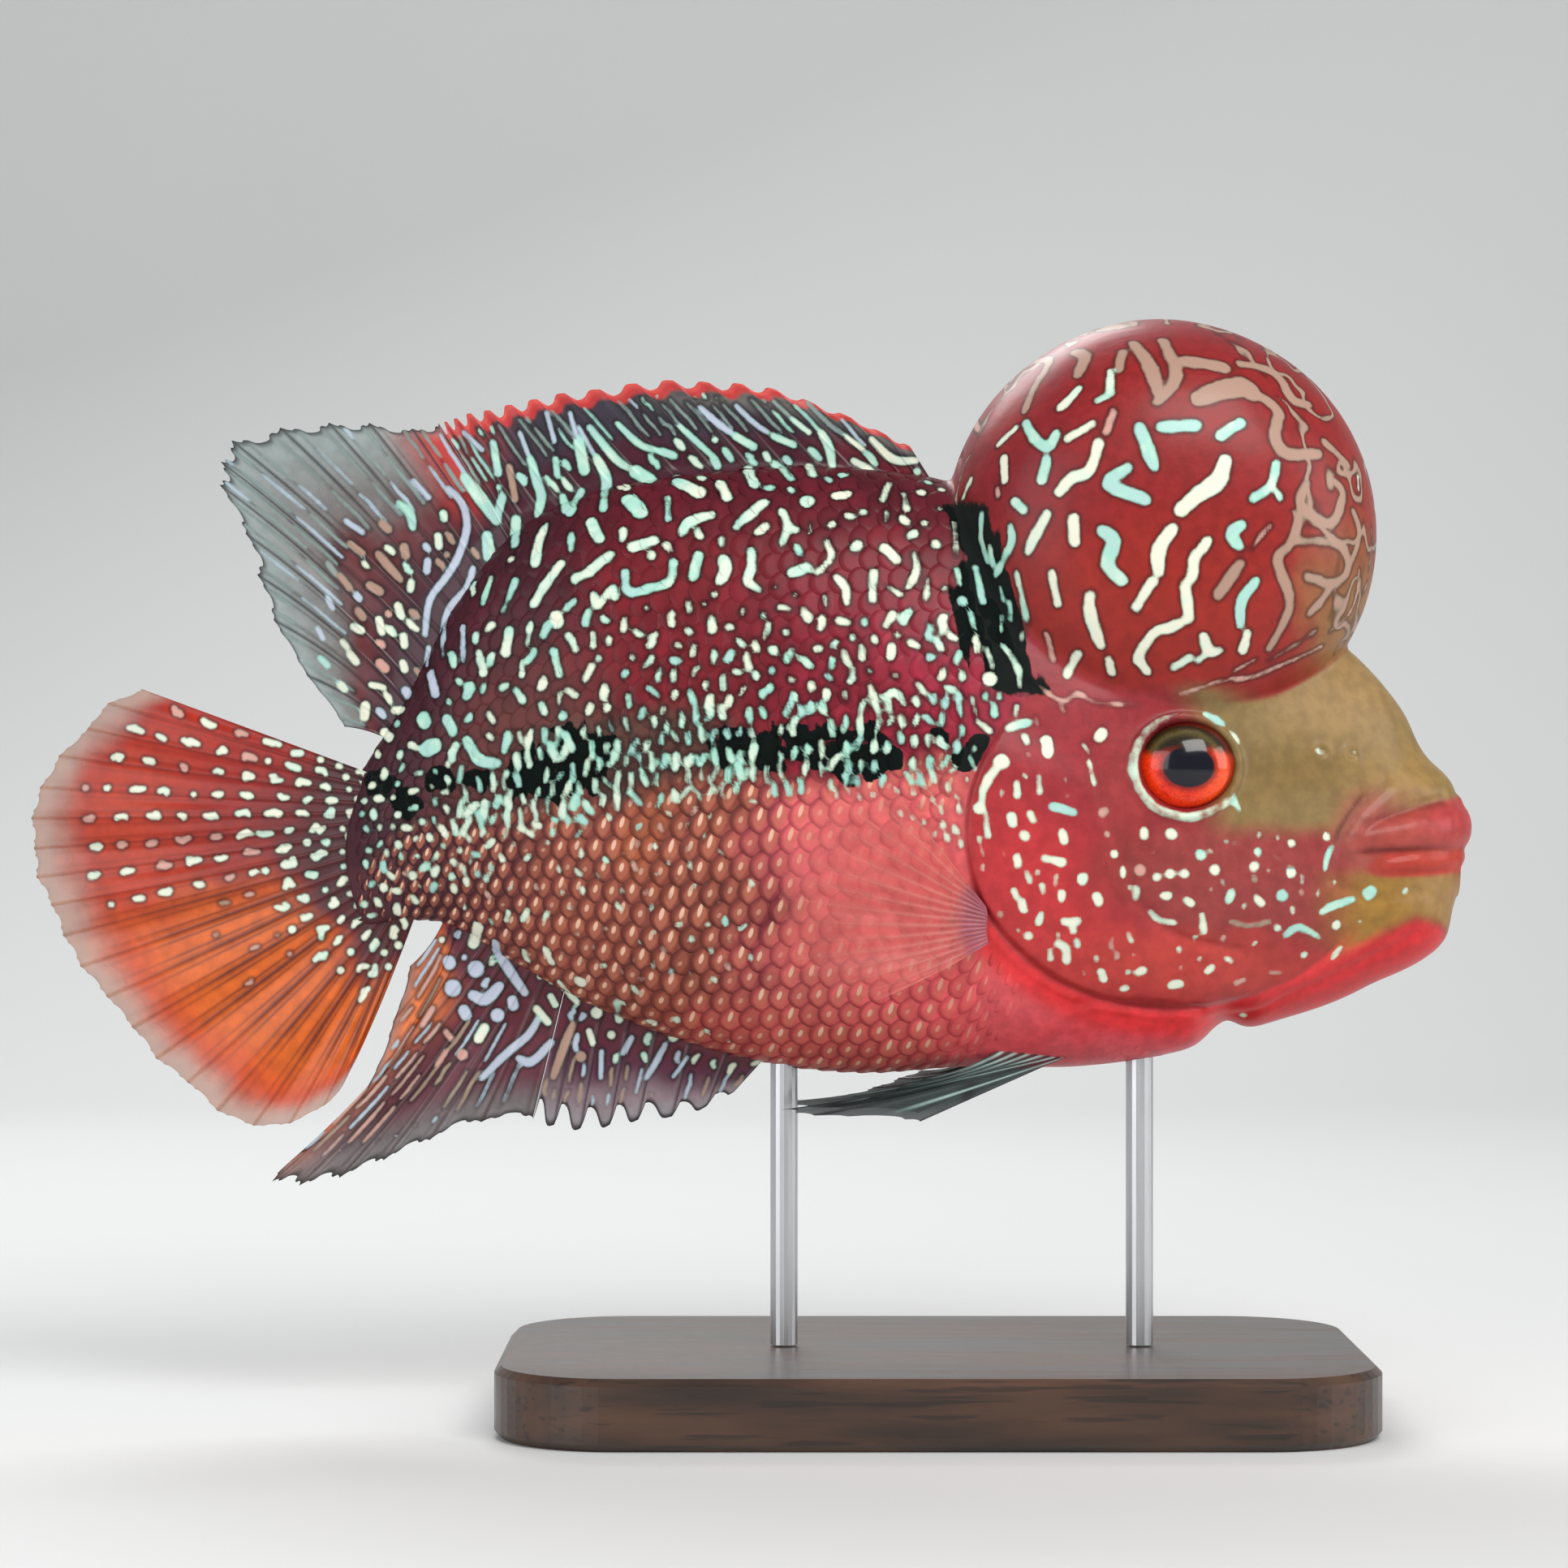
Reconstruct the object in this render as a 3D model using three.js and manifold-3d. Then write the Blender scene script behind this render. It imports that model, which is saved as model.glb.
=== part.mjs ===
// Flowerhorn cichlid, life size, in a swimming pose on a plain display stand. Millimetres, +Z up, head towards +X.
// The fish is a loft through body stations with a nuchal hump, lips, eyes and fins. The tail swings a little to the fish's left (+Y).
import * as THREE from "three";
import { mergeVertices } from "three/addons/utils/BufferGeometryUtils.js";
import Module from "manifold-3d";
const wasm = await Module();
wasm.setup();

// ---- driving dimensions ----
const GAP = 0.3; // clearance between neighbouring pieces
const BEND_START_X = -30, // the spine is straight ahead of this
  BEND = 0.00105, // sideways swing of the tail, per mm squared
  VIEW = { x: -26, y: -800, z: 110 }; // sizes are as seen from here, so what swings away is drawn out to keep its outline
const BASE = { length: 150, width: 92, height: 12, corner: 20, bevel: 1.2 };
const ROD = { radius: 2.4, frontX: 36, rearX: -26, z0: BASE.height + GAP };
const HUMP = { x: 39.6, z: 153.3, rx: 37.6, rz: 37.6, ry: 27, power: 2.8 };
const EYE = { x: 42.4, z: 113, y: 17.4, rx: 9, ry: 6.2, rz: 8.3 };
const MOUTH_Z = 96.9; // the line between the lips
const GILL = { x: 40.8, z: 102.3, rx: 36.2, rz: 30.8, depth: 14 };
const CHEEK = { x: 60, z: 108, rx: 37.4, rz: 35.4 };
const HEAD_CUT_X = 4, STALK_CUT_X = -70;

// Body stations: x, top, bottom, height of the widest level, half-width at it.
const STATIONS = [
  [-102, 109, 87.5, 98, 1.2],
  [-98.4, 114.3, 85.6, 99.8, 3.2],
  [-92, 124.7, 86.3, 103.7, 5.2],
  [-83.5, 140.8, 85.3, 110.8, 8.2],
  [-72.2, 154.4, 78.5, 114.3, 12.2],
  [-56.6, 161.5, 70.3, 115, 16.6],
  [-35.4, 164.6, 63.1, 114.3, 20.4],
  [-14.2, 165, 59.8, 112.2, 22.6],
  [7.1, 161.8, 60.8, 109.4, 23.4],
  [25.5, 154.7, 60.8, 105.8, 23.2],
  [42.5, 147.6, 63.2, 103, 21.8],
  [58.1, 140.8, 68, 101.6, 18.8],
  [69.4, 135.4, 71.7, 100.9, 15.6],
  [76.5, 129.5, 75.1, 100.2, 13.2],
  [83.5, 120.7, 79.6, 99.5, 10.9],
  [88.5, 112.9, 85.3, 98.8, 8.4],
  [91, 107.3, 90.3, 98, 5.6],
];
const UPPER_POWER = 1.75, LOWER_POWER = 2.15;

// Fin rows: where a ray leaves the body and where it ends, as x, z, x, z.
const DORSAL_SPINY = [
  [1.4, 160.3, -4, 168.9],
  [-9.9, 163.2, -23.4, 177.5],
  [-29.7, 163.9, -43.9, 180.2],
  [-51, 161.8, -65.1, 177.8],
  [-66.6, 156.9, -79.3, 174.8],
  [-73.6, 152.6, -85.7, 172.8],
];
const DORSAL_SOFT = [
  [-74, 152.2, -86.4, 172.3],
  [-78, 147.9, -96.3, 172.8],
  [-81.7, 141.7, -109, 173.1],
  [-85.2, 134.7, -123.2, 169.6],
  [-87.8, 129, -124.9, 163.2],
  [-90.3, 124.3, -117.8, 149],
  [-92.5, 120.5, -114, 136.3],
  [-94.9, 117.7, -102.7, 120],
];
const ANAL_SPINY = [
  [-29, 62.6, -34.7, 56.3],
  [-38.2, 65.2, -41.8, 53],
  [-46.7, 68, -50.3, 51.9],
  [-53.8, 70, -57.4, 50.2],
  [-60.2, 72, -64.3, 50.2],
  [-64, 73.6, -69.5, 51.2],
];
const ANAL_SOFT = [
  [-64.6, 73.9, -70.2, 51.6],
  [-68.7, 76.1, -81.4, 50.2],
  [-71.5, 77.8, -92, 46],
  [-73.9, 79.6, -101.2, 42.4],
  [-76.2, 81.1, -110.5, 40],
  [-78.2, 82.8, -115.4, 41.3],
  [-81.7, 85.3, -101.5, 52.5],
  [-83.3, 86.4, -94.9, 66.2],
  [-85, 87, -91.3, 78.2],
];
const CAUDAL = [
  [-99.8, 112.5, -137.6, 126.4],
  [-99.1, 109.7, -149, 120],
  [-98.4, 106.6, -155.1, 109.4],
  [-97.7, 103.4, -156.5, 98.8],
  [-96.9, 100.3, -153.6, 88.9],
  [-96, 97.2, -148.7, 78.2],
  [-95.2, 94.1, -140.2, 67.2],
  [-94.3, 91.3, -130.3, 57.7],
  [-93.3, 88.4, -118.2, 50.9],
  [-92.3, 86.2, -106.2, 53.9],
  [-91.3, 84.4, -101, 61.2],
];

// ---- small helpers ----
// Smooth curve through the rows of a table at position t (row index) for one column.
function along(rows, t, col) {
  const n = rows.length - 1,
    i = Math.min(n - 1, Math.max(0, Math.floor(t))),
    f = t - i,
    p = (k) => rows[Math.min(n, Math.max(0, k))][col];
  const m0 = (p(i + 1) - p(i - 1)) / 2,
    m1 = (p(i + 2) - p(i)) / 2;
  return (2 * f ** 3 - 3 * f ** 2 + 1) * p(i) + (f ** 3 - 2 * f ** 2 + f) * m0 + (3 * f ** 2 - 2 * f ** 3) * p(i + 1) + (f ** 3 - f ** 2) * m1;
}
function bend([x, y, z]) {
  const b = x < BEND_START_X ? BEND * (BEND_START_X - x) ** 2 : 0, f = 1 - b / VIEW.y;
  return [VIEW.x + (x - VIEW.x) * f, y + b, VIEW.z + (z - VIEW.z) * f];
}

// A closed solid from points and triangles, turned so that its faces point out.
function solid(points, tris) {
  const g = new THREE.BufferGeometry();
  g.setAttribute("position", new THREE.Float32BufferAttribute(points.flatMap(bend), 3));
  g.setIndex(tris.flat());
  return solidOf(g);
}
function solidOf(g) {
  g.deleteAttribute("normal");
  g.deleteAttribute("uv");
  const m = mergeVertices(g, 1e-4);
  const triVerts = new Uint32Array(m.index.array);
  const make = () => new wasm.Manifold(new wasm.Mesh({ numProp: 3, vertProperties: m.attributes.position.array, triVerts }));
  const s = make();
  if (s.volume() > 0) return s;
  for (let i = 0; i < triVerts.length; i += 3) [triVerts[i + 1], triVerts[i + 2]] = [triVerts[i + 2], triVerts[i + 1]];
  return make();
}
const largest = (s) => s.decompose().sort((a, b) => b.volume() - a.volume())[0];
function box(x0, x1, y0, y1, z0, z1) {
  const g = new THREE.BoxGeometry(x1 - x0, y1 - y0, z1 - z0);
  g.translate((x0 + x1) / 2, (y0 + y1) / 2, (z0 + z1) / 2);
  return solidOf(g);
}
// Rings of points, closed at both ends by a middle point.
function rings(list) {
  const n = list[0].length, points = list.flat(), tris = [];
  const middle = (ring) => ring.reduce((a, p) => a.map((v, k) => v + p[k] / n), [0, 0, 0]);
  for (let r = 0; r + 1 < list.length; r++)
    for (let k = 0; k < n; k++) {
      const a = r * n + k, b = r * n + ((k + 1) % n);
      tris.push([a, b, a + n], [b, b + n, a + n]);
    }
  const first = points.push(middle(list[0])) - 1, last = points.push(middle(list.at(-1))) - 1, o = (list.length - 1) * n;
  for (let k = 0; k < n; k++) tris.push([first, (k + 1) % n, k], [last, o + k, o + ((k + 1) % n)]);
  return solid(points, tris);
}

// ---- flesh ----
const AROUND = 20, ALONG = 30;
function body(grow = 0) {
  const list = [];
  for (let s = 0; s <= ALONG; s++) {
    const t = (s / ALONG) * (STATIONS.length - 1);
    const [x, top, bottom, mid, half] = [0, 1, 2, 3, 4].map((c) => along(STATIONS, t, c));
    const dx = s === 0 ? -grow : s === ALONG ? grow : 0, ring = [];
    for (let k = 0; k < AROUND; k++) {
      const a = (2 * Math.PI * k) / AROUND, c = Math.cos(a), power = c > 0 ? UPPER_POWER : LOWER_POWER;
      const rise = Math.sign(c) * Math.abs(c) ** (2 / power) * ((c > 0 ? top - mid : mid - bottom) + grow);
      ring.push([x + dx, Math.sin(a) * (half + grow), mid + rise]);
    }
    list.push(ring);
  }
  return rings(list);
}
// The hump is round from the side, and swells evenly to its widest.
function hump(grow = 0) {
  const list = [], N = 12, M = 24;
  for (let i = 1; i < 2 * N; i++) {
    const q = Math.cos((Math.PI * i) / (2 * N)), y = q * (HUMP.ry + grow);
    const r = (1 - Math.abs(q) ** 2) ** (1 / HUMP.power), ring = [];
    for (let k = 0; k < M; k++) {
      const a = (2 * Math.PI * k) / M;
      ring.push([HUMP.x + r * (HUMP.rx + grow) * Math.cos(a), y, HUMP.z + r * (HUMP.rz + grow) * Math.sin(a)]);
    }
    list.push(ring);
    if (i > 2 && i < 2 * N - 3) i++;
  }
  return rings(list);
}
function ball(e, side, grow = 0, w = 16, h = 8) {
  const g = new THREE.SphereGeometry(1, w, h);
  g.scale(e.rx + grow, e.ry + grow, e.rz + grow);
  g.translate(e.x, side * e.y, e.z);
  return solidOf(g);
}
// A lip: a soft roll round the front of the jaws, thick in front and thin at the corners.
function lip({ front, back, halfWidth, zFront, zCorner, thick, high }, grow = 0) {
  const list = [], N = 12, M = 8;
  for (let s = 0; s <= N; s++) {
    const t = (2 * s) / N - 1, k = 1 - 0.52 * Math.abs(t) ** 1.6;
    const cx = front - (front - back) * t * t, cy = halfWidth * Math.sin((t * Math.PI) / 2), cz = zFront + (zCorner - zFront) * t * t;
    const dx = -2 * (front - back) * t, dy = (halfWidth * Math.PI * Math.cos((t * Math.PI) / 2)) / 2, l = Math.hypot(dx, dy);
    const ring = [];
    for (let j = 0; j < M; j++) {
      const a = (2 * Math.PI * j) / M, out = Math.cos(a) * (thick * k + grow), up = Math.sin(a) * (high * k + grow);
      ring.push([cx + (dy / l) * out, cy - (dx / l) * out, cz + up]);
    }
    list.push(ring);
  }
  return rings(list);
}
const UPPER_LIP = { front: 91, back: 72, halfWidth: 13, zFront: 103, zCorner: 98, thick: 3.1, high: 4.3 };
const LOWER_LIP = { front: 90.6, back: 73.6, halfWidth: 12.2, zFront: 97.2, zCorner: 94.8, thick: 2.5, high: 2.6 };

// ---- fins ----
// A thin plate over rows of rays. `rays` gives how many, `notch` how far the edge falls in between them.
function fin({ rows, rays, across, root, edge, notch = 0, bow = 0, dip = 2.5, lean = () => 0 }) {
  const n = 2 * rays, points = [], tris = [], at = (i, j, side) => ((side ? 1 : 0) * (n + 1) + i) * (across + 1) + j;
  for (const side of [-1, 1])
    for (let i = 0; i <= n; i++) {
      const t = (i / n) * (rows.length - 1), [bx, bz, tx, tz] = [0, 1, 2, 3].map((c) => along(rows, t, c));
      const reach = i % 2 ? 1 - notch : 1, long = Math.hypot(tx - bx, tz - bz), nx = -(tz - bz) / long, nz = (tx - bx) / long;
      for (let j = 0; j <= across; j++) {
        const u = j / across, v = u * reach - (1 - u) * (dip / long), curve = bow * (i / n) * 4 * u * (1 - u) * long;
        const half = root + (edge - root) * Math.min(1, u * 1.25);
        points.push([bx + (tx - bx) * v + nx * curve, lean(i / n, v) + side * half, bz + (tz - bz) * v + nz * curve]);
      }
    }
  const quad = (a, b, c, d) => tris.push([a, b, c], [a, c, d]);
  for (let i = 0; i < n; i++)
    for (let j = 0; j < across; j++) {
      quad(at(i, j, 0), at(i + 1, j, 0), at(i + 1, j + 1, 0), at(i, j + 1, 0));
      quad(at(i, j, 1), at(i, j + 1, 1), at(i + 1, j + 1, 1), at(i + 1, j, 1));
    }
  for (let i = 0; i < n; i++) {
    quad(at(i, 0, 0), at(i, 0, 1), at(i + 1, 0, 1), at(i + 1, 0, 0));
    quad(at(i, across, 0), at(i + 1, across, 0), at(i + 1, across, 1), at(i, across, 1));
  }
  for (let j = 0; j < across; j++) {
    quad(at(0, j, 0), at(0, j + 1, 0), at(0, j + 1, 1), at(0, j, 1));
    quad(at(n, j, 0), at(n, j, 1), at(n, j + 1, 1), at(n, j + 1, 0));
  }
  return solid(points, tris);
}
// Paired fins are rows as above, with the sideways place of a point given by `lean`.
const pectoralRows = [
  [6.4, 91.6, -8.5, 110.5],
  [6.2, 90.2, -19.8, 108],
  [6, 88.6, -25.2, 99.5],
  [5.8, 86.8, -26.5, 91],
  [5.8, 85, -24.8, 82.5],
  [6, 83.2, -19.5, 76.3],
  [6.4, 81.6, -10.5, 73.4],
];
const pelvicRows = [
  [20.5, 61.8, -3, 51.6],
  [18.2, 62.2, -28, 53.4],
  [15.5, 62.6, -17, 54.8],
  [12.5, 62.9, -8.5, 57.2],
  [9.5, 63.1, -2, 59.4],
];
const paired = {
  pectoral: (side) => fin({ rows: pectoralRows, rays: 7, across: 5, root: 0.9, edge: 0.32, notch: 0.02, bow: 0.02, lean: (u, v) => side * (22.9 + 6.2 * v * (1 - 0.35 * v)) }),
  pelvic: (side) => fin({ rows: pelvicRows, rays: 5, across: 5, root: 1.2, edge: 0.32, notch: 0.03, bow: side < 0 ? 0.05 : 0.09, lean: (u, v) => side * (6.5 + 3.2 * v + 1.6 * u) }),
};

// ---- assembly ----
const whole = body(), clear = body(GAP), humpClear = hump(GAP);
const cut = (s, ...others) => largest(others.reduce((a, o) => a.subtract(o), s));
// An upright disc seen from the side, from 'depth' outwards on one side of the fish.
function disc({ x, z, rx, rz }, side, depth, grow, n = 26) {
  const g = new THREE.CylinderGeometry(1, 1, 40, n);
  g.scale(rx + grow, 1, rz + grow);
  g.translate(x, side * (depth + 20 - grow), z);
  return solidOf(g);
}
// The gill cover is the crescent left of a wide disc by the cheek.
const gillTool = (side, grow) => disc(GILL, side, GILL.depth, grow).subtract(disc(CHEEK, side, GILL.depth - 2, -grow));
const sides = [["right", -1], ["left", 1]];
const eyes = Object.fromEntries(sides.map(([n, s]) => [n, ball(EYE, s)]));
const upperLip = lip(UPPER_LIP), lowerLip = lip(LOWER_LIP);
const lipsClear = lip(UPPER_LIP, GAP).add(lip(LOWER_LIP, GAP));

let head = whole.intersect(box(HEAD_CUT_X + GAP, 200, -60, 60, 0, 260));
for (const [, s] of sides) head = head.subtract(ball(EYE, s, GAP)).subtract(gillTool(s, GAP));
head = head.subtract(lipsClear);
const jawBox = (g) => box(66 - g, 200, -60, 60, 0, MOUTH_Z - 1.2 + g);
const pieces = {
  head: [largest(head.subtract(jawBox(GAP))), 0x96413a],
  lower_jaw: [largest(head.intersect(jawBox(0))), 0xa08a3c],
  upper_lip: [cut(upperLip, lip(LOWER_LIP, GAP)), 0xc25a4e],
  lower_lip: [largest(lowerLip), 0xcf5a44],
  nuchal_hump: [cut(hump(), clear), 0x8f262b],
  trunk: [largest(whole.intersect(box(STALK_CUT_X, HEAD_CUT_X, -60, 60, 0, 260))), 0x7c2a35],
  tail_stalk: [largest(whole.intersect(box(-200, STALK_CUT_X - GAP, -60, 60, 0, 260))), 0x5a2733],
  dorsal_fin_spiny: [cut(fin({ rows: DORSAL_SPINY, rays: 17, across: 3, root: 1.7, edge: 0.36, notch: 0.07 }), clear, humpClear), 0x5d2430],
  dorsal_fin_soft: [cut(fin({ rows: DORSAL_SOFT, rays: 12, across: 4, root: 1.5, edge: 0.34, notch: 0.025, bow: -0.05 }), clear), 0x6d4f55],
  anal_fin_spiny: [cut(fin({ rows: ANAL_SPINY, rays: 7, across: 3, root: 1.5, edge: 0.36, notch: 0.1 }), clear), 0x6b3a48],
  anal_fin_soft: [cut(fin({ rows: ANAL_SOFT, rays: 10, across: 4, root: 1.4, edge: 0.34, notch: 0.03, bow: 0.06 }), clear), 0x8a5148],
  caudal_fin: [cut(fin({ rows: CAUDAL, rays: 16, across: 4, root: 1.5, edge: 0.34, notch: 0.015, bow: 0.01, lean: (u, v) => 0.5 * v * Math.sin(9 * u) }), clear), 0xb4471f],
  stand_rod_front: [null, 0x8f9498],
  stand_rod_rear: [null, 0x8f9498],
};
for (const [n, s] of sides) {
  pieces["gill_cover_" + n] = [largest(whole.intersect(gillTool(s, 0)).intersect(box(HEAD_CUT_X + GAP, 200, -60, 60, 0, 260)).subtract(ball(EYE, s, GAP))), 0xa8322f];
  pieces["eye_" + n] = [eyes[n], 0xd8301c];
  pieces["pectoral_fin_" + n] = [cut(paired.pectoral(s), clear), 0xd98078];
  pieces["pelvic_fin_" + n] = [cut(paired.pelvic(s), clear), 0x3c4346];
}
for (const [n, x] of [["front", ROD.frontX], ["rear", ROD.rearX]]) {
  const g = new THREE.CylinderGeometry(ROD.radius, ROD.radius, 90, 20);
  g.rotateX(Math.PI / 2);
  g.translate(x, 0, ROD.z0 + 45);
  const cutRod = solidOf(g).subtract(clear).decompose().sort((a, b) => a.boundingBox().min[2] - b.boundingBox().min[2])[0];
  pieces["stand_rod_" + n][0] = cutRod;
}
{
  const { length: L, width: W, height: H, corner: R, bevel: B } = BASE, s = new THREE.Shape(), x = L / 2 - B, y = W / 2 - B;
  s.moveTo(-x + R, -y);
  s.lineTo(x - R, -y).absarc(x - R, -y + R, R, -Math.PI / 2, 0, false);
  s.lineTo(x, y - R).absarc(x - R, y - R, R, 0, Math.PI / 2, false);
  s.lineTo(-x + R, y).absarc(-x + R, y - R, R, Math.PI / 2, Math.PI, false);
  s.lineTo(-x, -y + R).absarc(-x + R, -y + R, R, Math.PI, 1.5 * Math.PI, false);
  const g = new THREE.ExtrudeGeometry(s, { depth: H - 2 * B, bevelEnabled: true, bevelThickness: B, bevelSize: B, bevelSegments: 1, curveSegments: 6 });
  g.translate(0, 0, B);
  pieces.stand_base = [solidOf(g), 0x2c211b];
}

const model = new THREE.Group();
for (const [name, [made, color]] of Object.entries(pieces)) {
  const m = made.getMesh(), g = new THREE.BufferGeometry(), v = new Float32Array(m.numVert * 3);
  for (let i = 0; i < m.numVert; i++) for (let k = 0; k < 3; k++) v[3 * i + k] = m.vertProperties[i * m.numProp + k];
  g.setAttribute("position", new THREE.BufferAttribute(v, 3));
  g.setIndex(new THREE.BufferAttribute(m.triVerts, 1));
  g.computeVertexNormals();
  const rod = name.startsWith("stand_rod");
  const mesh = new THREE.Mesh(g, new THREE.MeshStandardMaterial({ color, roughness: rod ? 0.3 : 0.4, metalness: rod ? 1 : 0 }));
  mesh.name = name;
  model.add(mesh);
}
export default model;
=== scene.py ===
import math

import bpy
import numpy as np
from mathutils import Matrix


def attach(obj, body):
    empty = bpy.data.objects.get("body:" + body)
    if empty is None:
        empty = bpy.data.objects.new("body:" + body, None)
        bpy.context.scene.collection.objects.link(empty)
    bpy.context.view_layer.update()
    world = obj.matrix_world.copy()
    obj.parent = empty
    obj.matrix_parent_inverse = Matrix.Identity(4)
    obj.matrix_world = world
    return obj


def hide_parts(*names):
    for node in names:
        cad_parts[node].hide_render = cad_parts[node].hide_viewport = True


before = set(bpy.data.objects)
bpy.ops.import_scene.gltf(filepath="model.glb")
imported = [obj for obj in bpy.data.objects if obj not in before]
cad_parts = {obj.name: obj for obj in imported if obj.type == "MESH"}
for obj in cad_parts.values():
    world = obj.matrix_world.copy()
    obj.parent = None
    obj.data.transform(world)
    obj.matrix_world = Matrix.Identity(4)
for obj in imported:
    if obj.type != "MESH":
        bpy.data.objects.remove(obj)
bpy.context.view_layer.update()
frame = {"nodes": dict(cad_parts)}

import openvdb

rng = np.random.default_rng(11)
F32 = np.float32

# ------------------------------------------------------------------ sizes, mm
# Head towards +X, up +Z, the fish's right side towards -Y. PX turns a length in the side outline's own units to mm.
PX = 0.1416
VIEW = np.array([-26.0, -800.0, 110.0])
BEND_START_X, BEND = -30.0, 0.00105
STATIONS = np.array(
    [
        [-102, 109, 87.5, 98, 1.2],
        [-98.4, 114.3, 85.6, 99.8, 3.2],
        [-92, 124.7, 86.3, 103.7, 5.2],
        [-83.5, 140.8, 85.3, 110.8, 8.2],
        [-72.2, 154.4, 78.5, 114.3, 12.2],
        [-56.6, 161.5, 70.3, 115, 16.6],
        [-35.4, 164.6, 63.1, 114.3, 20.4],
        [-14.2, 165, 59.8, 112.2, 22.6],
        [7.1, 161.8, 60.8, 109.4, 23.4],
        [25.5, 154.7, 60.8, 105.8, 23.2],
        [42.5, 147.6, 63.2, 103, 21.8],
        [58.1, 140.8, 68, 101.6, 18.8],
        [69.4, 135.4, 71.7, 100.9, 15.6],
        [76.5, 129.5, 75.1, 100.2, 13.2],
        [83.5, 120.7, 79.6, 99.5, 10.9],
        [88.5, 112.9, 85.3, 98.8, 8.4],
        [91, 107.3, 90.3, 98, 5.6],
    ]
)
UP_POW, LOW_POW = 1.75, 2.15
HUMP = dict(x=39.6, z=153.3, rx=37.6, rz=37.6, ry=27.0, power=2.8)
EYE = dict(x=42.4, z=113.0, y=17.4, rx=9.0, ry=6.2, rz=8.3)
GILL = dict(x=40.8, z=102.3, rx=36.2, rz=30.8)
VOX = 0.5
LOW = np.array([-107.0, -31.0, 54.0])
DIM = (412, 125, 284)


def side(px, py):
    """A place in the side outline's units to mm on the middle plane."""
    return (np.asarray(px, float) - 1150) * PX, 40 + (1460 - np.asarray(py, float)) * PX


def smooth(a, b, v):
    t = np.clip((v - a) / (b - a), 0, 1)
    return t * t * (3 - 2 * t)


def along(rows, t):
    rows = np.asarray(rows, float)
    n = len(rows) - 1
    t = np.asarray(t, float)
    i = np.clip(np.floor(t).astype(int), 0, n - 1)
    f = (t - i)[..., None]
    p = lambda k: rows[np.clip(k, 0, n)]
    m0, m1 = (p(i + 1) - p(i - 1)) / 2, (p(i + 2) - p(i)) / 2
    return (
        (2 * f**3 - 3 * f**2 + 1) * p(i)
        + (f**3 - 2 * f**2 + f) * m0
        + (3 * f**2 - 2 * f**3) * p(i + 1)
        + (f**3 - f**2) * m1
    )


def warp(p):
    """The tail's swing to the fish's left."""
    p = np.asarray(p, float)
    b = np.where(p[..., 0] < BEND_START_X, BEND * (BEND_START_X - p[..., 0]) ** 2, 0)
    f = 1 - b / VIEW[1]
    out = np.empty_like(p)
    out[..., 0] = VIEW[0] + (p[..., 0] - VIEW[0]) * f
    out[..., 1] = p[..., 1] + b
    out[..., 2] = VIEW[2] + (p[..., 2] - VIEW[2]) * f
    return out


# ------------------------------------------------------------------ noise and sampling
LATTICE = np.random.default_rng(3).random((48, 48, 48)).astype(F32)


def noise(p, size, octaves=2, seed=0.0):
    """Smooth noise in 0..1 over points p, mm."""
    out, amp, total = 0, 1.0, 0
    for o in range(octaves):
        q = (np.asarray(p, F32) / F32(size) * F32(2**o) + F32(seed + 7.3 * o)) % 48
        i = np.floor(q).astype(np.int32) % 48
        f = q - np.floor(q)
        f = f * f * (3 - 2 * f)
        j = (i + 1) % 48
        v = 0
        for a in (0, 1):
            for b in (0, 1):
                for c in (0, 1):
                    w = (
                        (f[..., 0] if a else 1 - f[..., 0])
                        * (f[..., 1] if b else 1 - f[..., 1])
                        * (f[..., 2] if c else 1 - f[..., 2])
                    )
                    v = v + w * LATTICE[
                        (j if a else i)[..., 0], (j if b else i)[..., 1], (j if c else i)[..., 2]
                    ]
        out, total, amp = out + amp * v, total + amp, amp * 0.5
    return out / total


def sample(field, p, low=LOW, step=VOX):
    """Trilinear value of a field at points p."""
    q = (np.asarray(p, F32) - low.astype(F32)) / F32(step)
    top = np.array(field.shape) - 1.001
    q = np.clip(q, 0, top.astype(F32))
    i = q.astype(np.int32)
    f = q - i
    v = 0
    for a in (0, 1):
        for b in (0, 1):
            for c in (0, 1):
                w = (
                    (f[..., 0] if a else 1 - f[..., 0])
                    * (f[..., 1] if b else 1 - f[..., 1])
                    * (f[..., 2] if c else 1 - f[..., 2])
                )
                v = v + w * field[i[..., 0] + a, i[..., 1] + b, i[..., 2] + c]
    return v


GX = (LOW[0] + VOX * np.arange(DIM[0])).astype(F32)
GY = (LOW[1] + VOX * np.arange(DIM[1])).astype(F32)
GZ = (LOW[2] + VOX * np.arange(DIM[2])).astype(F32)
X3, Y3, Z3 = GX[:, None, None], GY[None, :, None], GZ[None, None, :]
AY = np.abs(Y3)


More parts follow.
